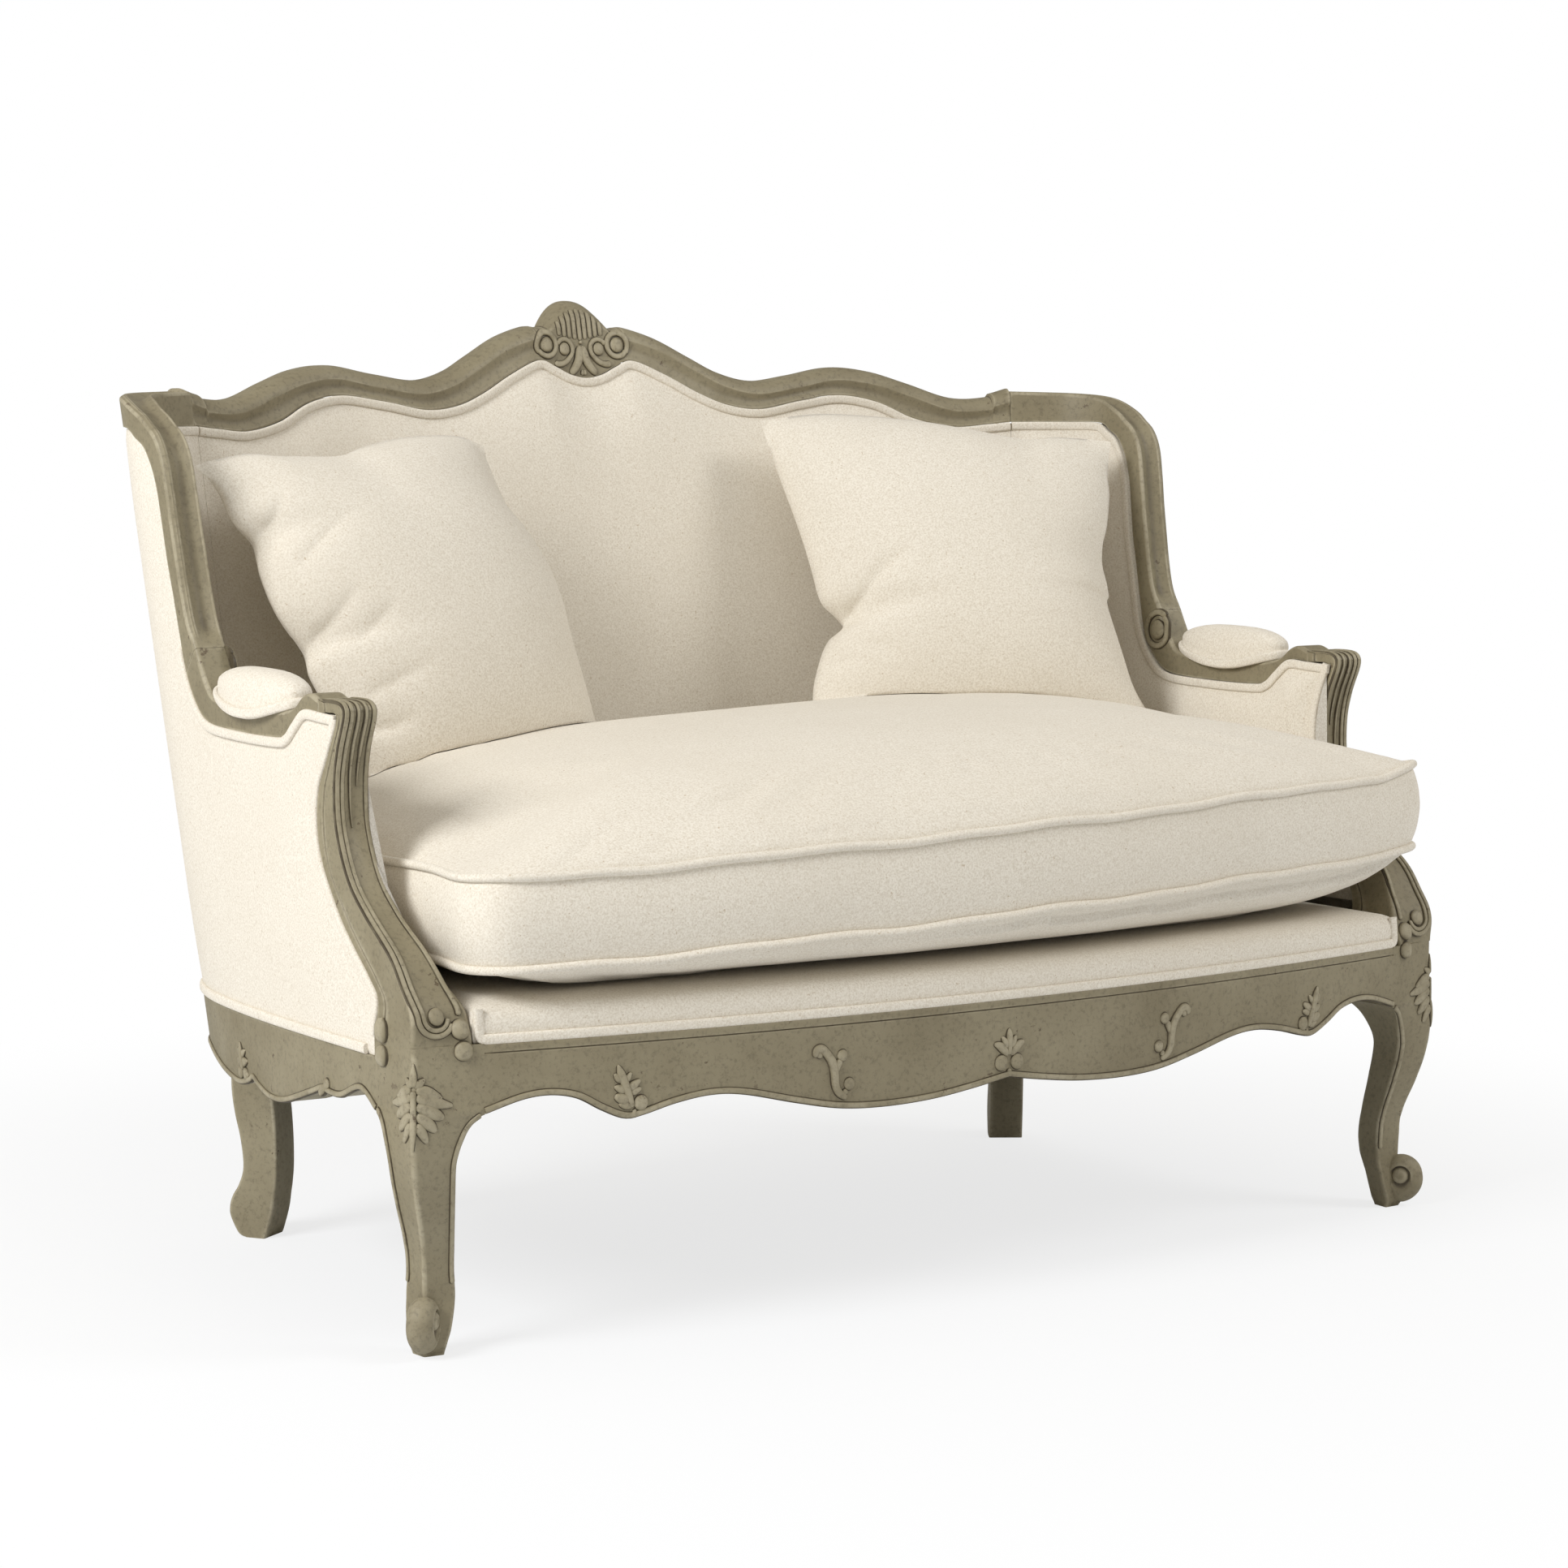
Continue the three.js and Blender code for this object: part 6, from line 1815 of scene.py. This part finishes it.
# Each pillow: its middle, its turn in degrees, and its four seams as places in its own plane, in mm.
# The creases are lines of (across, up, width, depth).
pillow_seams = {
    "right": dict(
        middle=(0.388, 0.4883, 0.7296), turn=-18,
        left=[(-222, -205), (-217, -152), (-204, -113), (-190, -87), (-168, -66), (-192, -39), (-200, 8),
              (-208, 56), (-222, 115), (-234, 170), (-240, 203)],
        right=[(214, -205), (194, -161), (182, -110), (171, -51), (178, -33), (172, -2), (176, 25), (189, 58),
               (199, 101), (201, 130), (212, 174)],
        top=[(-240, 203), (-173, 212), (-121, 211), (-39, 203), (13, 194), (54, 183), (95, 175), (140, 180),
             (212, 174)],
        bottom=[(-222, -205), (-110, -198), (0, -196), (110, -198), (214, -205)],
        creases=[[(-168, -64, 9, 13), (-150, -44, 12, 12), (-126, -14, 14, 8), (-98, 2, 12, 1)],
                 [(-198, -118, 7, 5), (-178, -122, 8, 4), (-160, -126, 8, 0.5)],
                 [(-160, -104, 8, 2), (-135, -112, 9, 3), (-115, -124, 8, 0.5)],
                 [(178, -38, 7, 6), (160, -30, 10, 4), (140, -22, 10, 0.5)],
                 [(203, 150, 8, 4), (180, 165, 9, 3), (150, 178, 9, 0.5)]]),
    "left": dict(
        middle=(-0.400, 0.5003, 0.7256), turn=10,
        left=[(-104, -225), (-126, -155), (-146, -88), (-140, -62), (-157, -35), (-168, -6), (-173, 37),
              (-167, 68), (-190, 93), (-196, 126), (-219, 160)],
        right=[(238, -190), (233, -108), (232, -68), (234, -28), (230, 13), (215, 54), (197, 85), (190, 126),
               (193, 178)],
        top=[(-219, 160), (-148, 172), (-95, 168), (-29, 166), (23, 180), (83, 190), (156, 191), (193, 178)],
        bottom=[(-104, -225), (0, -222), (100, -214), (191, -202), (238, -190)],
        creases=[[(-195, 110, 6, 6), (-184, 122, 8, 3), (-176, 134, 8, 0.5)],
                 [(-167, 70, 7, 9), (-152, 86, 9, 6), (-142, 112, 10, 0.5)],
                 [(-140, 28, 9, 3), (-112, 52, 13, 5), (-66, 80, 12, 0.5)],
                 [(-140, -58, 8, 8), (-118, -38, 11, 7), (-90, -8, 12, 0.5)],
                 [(-98, -66, 9, 3), (-76, -52, 11, 4), (-50, -28, 10, 0.5)],
                 [(-112, -158, 9, 9), (-84, -166, 11, 7), (-50, -158, 12, 0.5)],
                 [(-100, -128, 9, 3), (-66, -118, 12, 4), (-20, -104, 12, 0.5)]]),
}


pillow_front_swell, pillow_back_swell = 76, 70
pillow_edge_power, pillow_swell_power = 2.4, 0.6
pillow_lean = math.radians(25)


def pillow_points(seams, count=96):
    """The cover of a pillow in its own plane, in mm: both faces of the patch that its four seams bound."""
    left, right, top, bottom = (
        smooth_line(seams[side], count=count)[0] for side in ("left", "right", "top", "bottom"))
    share = np.linspace(0, 1, count)
    s, t = share[None, :, None], share[:, None, None]
    between = bottom[None] * (1 - t) + top[None] * t + left[:, None] * (1 - s) + right[:, None] * s
    corners = (bottom[0] * (1 - s) + bottom[-1] * s) * (1 - t) + (top[0] * (1 - s) + top[-1] * s) * t
    patch = between - corners
    plump = (1 - np.abs(2 * s - 1) ** pillow_edge_power) * (1 - np.abs(2 * t - 1) ** pillow_edge_power)
    swell = np.maximum(plump, 0) ** pillow_swell_power
    front = np.concatenate([patch, -pillow_front_swell * swell], -1)
    back = np.concatenate([patch, pillow_back_swell * swell], -1)
    return np.concatenate([front, back[:, ::-1][:, 1:]], 1)


def crease_depth(points, creases):
    """How deep the creases sink the cover at its places, in mm."""
    deep = np.zeros(len(points))
    width_share = 0.75
    for rows in creases:
        line, _ = smooth_line(rows, count=40)
        away = np.linalg.norm(points[:, None, :2] - line[None, :, :2], axis=-1)
        nearest = away.argmin(1)
        width, depth = line[nearest, 2], line[nearest, 3]
        deep = np.maximum(deep, depth * np.exp(-away.min(1) / (width_share * width)))
    return deep


def keep_clear(points, piece, direction):
    """Moves points that lie beyond the surface of a piece, along a direction, to 1 mm in front of it."""
    clearance, reach = 1 * mm, 0.22
    direction = Vector(direction)
    surface = BVHTree.FromPolygons([tuple(place) for place in places_of(piece.data)],
                                   [tuple(face.vertices) for face in piece.data.polygons])
    for index, place in enumerate(points):
        start = Vector(place) - direction * reach
        hit, _, _, distance = surface.ray_cast(start, direction, reach + clearance)
        if hit is not None:
            points[index] = start + direction * (distance - clearance)


class SETTEE_OT_pillows(bpy.types.Operator):
    """Adds the two loose throw pillows"""
    bl_idname = "settee.pillows"
    bl_label = "Throw pillows"

    def execute(self, context):
        pieces = bpy.data.objects
        for side, seams in pillow_seams.items():
            pillow = bent_grid(f"pillow_linen_{side}", pillow_points(seams) * mm, 70)
            local = places_of(pillow.data)
            settle(pillow, np.flatnonzero(np.abs(local[:, 2]) < 0.5 * mm), pressure=2.0, slack=-0.03,
                   cap=np.full(len(local), 2.5 * mm), stiff=6.0, loose=range(len(local)))
            local = places_of(pillow.data)
            from_seam = np.clip(-local[:, 2] / (20 * mm), 0, 1)
            local[:, 2] += crease_depth(local / mm, seams["creases"]) * mm * from_seam
            turn = math.radians(seams["turn"])
            across = np.array([math.cos(turn), math.sin(turn), 0])
            level = np.array([-math.sin(turn), math.cos(turn), 0])
            behind = level * math.cos(pillow_lean) - np.array([0, 0, math.sin(pillow_lean)])
            upward = level * math.sin(pillow_lean) + np.array([0, 0, math.cos(pillow_lean)])
            middle = np.array(seams["middle"]) + [0, settee_shift, 0]
            points = middle + local[:, :1] * across + local[:, 1:2] * upward + local[:, 2:] * behind
            keep_clear(points, pieces["back_pad_linen"], (0, 1, 0))
            keep_clear(points, pieces[f"side_pad_linen_{side}"], (1 if side == "right" else -1, 0, 0))
            keep_clear(points, pieces["seat_cushion_linen"], (0, 0, -1))
            pillow.data.vertices.foreach_set("co", points.astype(np.float32).ravel())
            pillow.data.update()
            dress(pillow, "linen", body=f"{side}_pillow", stands_for=(f"pillow_{side}",))
        return {"FINISHED"}


class SETTEE_OT_inner_frame(bpy.types.Operator):
    """Gives the hidden wood, springs, straps and dust cover their finishes"""
    bl_idname = "settee.inner_frame"
    bl_label = "Inner frame finishes"

    def execute(self, context):
        kinds = (("spring_steel", ("seat_spring",)), ("jute", ("back_webbing",)),
                 ("dust_cloth", ("dust_cover",)),
                 ("bare_wood", ("back_lower_rail", "front_corner_block", "rear_corner_block", "seat_brace")))
        for name, node in frame["nodes"].items():
            for finish, starts in kinds:
                if name.startswith(starts):
                    for slot in node.material_slots:
                        slot.material = finish_of(finish)
        return {"FINISHED"}


# The camera that was fitted to the photograph, and the lamps: a name, a place, a size and a power each
camera_place = (-2.473, -3.689, 0.950)
camera_turn = (math.radians(90 - 5.74), 0, math.radians(-34.02))
camera_lens = 89.72
lamps = (("key_lamp", (-4.1, -0.8, 3.1), 1.8, 170.0), ("fill_lamp", (2.7, -2.6, 3.4), 1.6, 66.0))
world_colour, world_strength = (1, 0.955, 0.88, 1), 0.43
floor_colour, floor_size, floor_drop = (0.88, 0.9, 0.93, 1), 60, 0.2 * mm


class SETTEE_OT_stage(bpy.types.Operator):
    """Adds the floor, the lamps and the camera"""
    bl_idname = "settee.stage"
    bl_label = "Stage"

    def execute(self, context):
        scene = context.scene
        deselect()
        bpy.ops.mesh.primitive_plane_add(size=floor_size, location=(0, 0, -floor_drop))
        floor = context.object
        floor.name = "floor"
        floor_look = dict(Base_Color=floor_colour, Specular_IOR_Level=0)
        material, shader, tree = new_material("floor_white", 0.9, **floor_look)
        glow = tree.node("ShaderNodeEmission", Strength=1.0)
        centre = tree.node("ShaderNodeVectorMath", operation="LENGTH")
        tree.link(tree.place(), centre.inputs[0])
        half = tree.node("ShaderNodeMixShader")
        tree.link(tree.ramp(centre.outputs["Value"], 0.6, 1.7, 0.76, 1.0), half.inputs["Fac"])
        tree.link(shader.outputs[0], half.inputs[1])
        tree.link(glow.outputs[0], half.inputs[2])
        surface = tree.over_camera(half.outputs[0], shader.outputs[0])
        tree.link(surface, tree.nodes["Material Output"].inputs["Surface"])
        floor.data.materials.append(material)
        world = bpy.data.worlds.new("studio")
        scene.world = world
        world.use_nodes = True
        tree = ShaderTree(world.node_tree)
        plain = tree.nodes["Background"]
        plain.inputs["Color"].default_value = world_colour
        plain.inputs["Strength"].default_value = world_strength
        white = tree.node("ShaderNodeBackground", Strength=1.0, Color=(1, 1, 1, 1))
        surface = tree.over_camera(white.outputs[0], plain.outputs[0])
        tree.link(surface, tree.nodes["World Output"].inputs["Surface"])
        for name, place, size, power in lamps:
            bpy.ops.object.light_add(type="AREA", location=place)
            lamp = context.object
            lamp.name = name
            lamp.data.size = size
            lamp.data.energy = power
            lamp.rotation_euler = (Vector((0, 0, 0.5)) - Vector(place)).to_track_quat("-Z", "Y").to_euler()
        bpy.ops.object.camera_add(location=camera_place, rotation=camera_turn)
        camera = context.object
        camera.data.lens = camera_lens
        camera.data.sensor_width = 36
        camera.data.clip_end = 100
        scene.camera = camera
        scene.view_settings.view_transform = "Standard"
        return {"FINISHED"}


class SETTEE_PT_panel(bpy.types.Panel):
    """Lists the settee's pieces in the sidebar"""
    bl_label = "Winged settee"
    bl_space_type = "VIEW_3D"
    bl_region_type = "UI"
    bl_category = "Settee"

    def draw(self, context):
        for group in (context.scene.settee_sizes, context.scene.settee_colours):
            for key in group.__annotations__:
                self.layout.prop(group, key)
        for step in steps:
            self.layout.operator(step.bl_idname)


steps = (
    SETTEE_OT_crest_rail,
    SETTEE_OT_wing_rails,
    SETTEE_OT_arm_rails,
    SETTEE_OT_arm_posts,
    SETTEE_OT_front_legs,
    SETTEE_OT_rear_legs,
    SETTEE_OT_front_rail,
    SETTEE_OT_side_rails,
    SETTEE_OT_covers,
    SETTEE_OT_pads,
    SETTEE_OT_seat_deck,
    SETTEE_OT_arm_pads,
    SETTEE_OT_welts,
    SETTEE_OT_seat_cushion,
    SETTEE_OT_pillows,
    SETTEE_OT_inner_frame,
    SETTEE_OT_stage,
)
classes = (settee_sizes, settee_colours, *steps, SETTEE_PT_panel)


def register():
    for cls in classes:
        bpy.utils.register_class(cls)
    bpy.types.Scene.settee_sizes = bpy.props.PointerProperty(type=settee_sizes)
    bpy.types.Scene.settee_colours = bpy.props.PointerProperty(type=settee_colours)


def unregister():
    del bpy.types.Scene.settee_sizes
    del bpy.types.Scene.settee_colours
    for cls in reversed(classes):
        bpy.utils.unregister_class(cls)


def main():
    register()
    for step in steps:
        group, name = step.bl_idname.split(".")
        getattr(getattr(bpy.ops, group), name)()


if __name__ == "__main__":
    main()
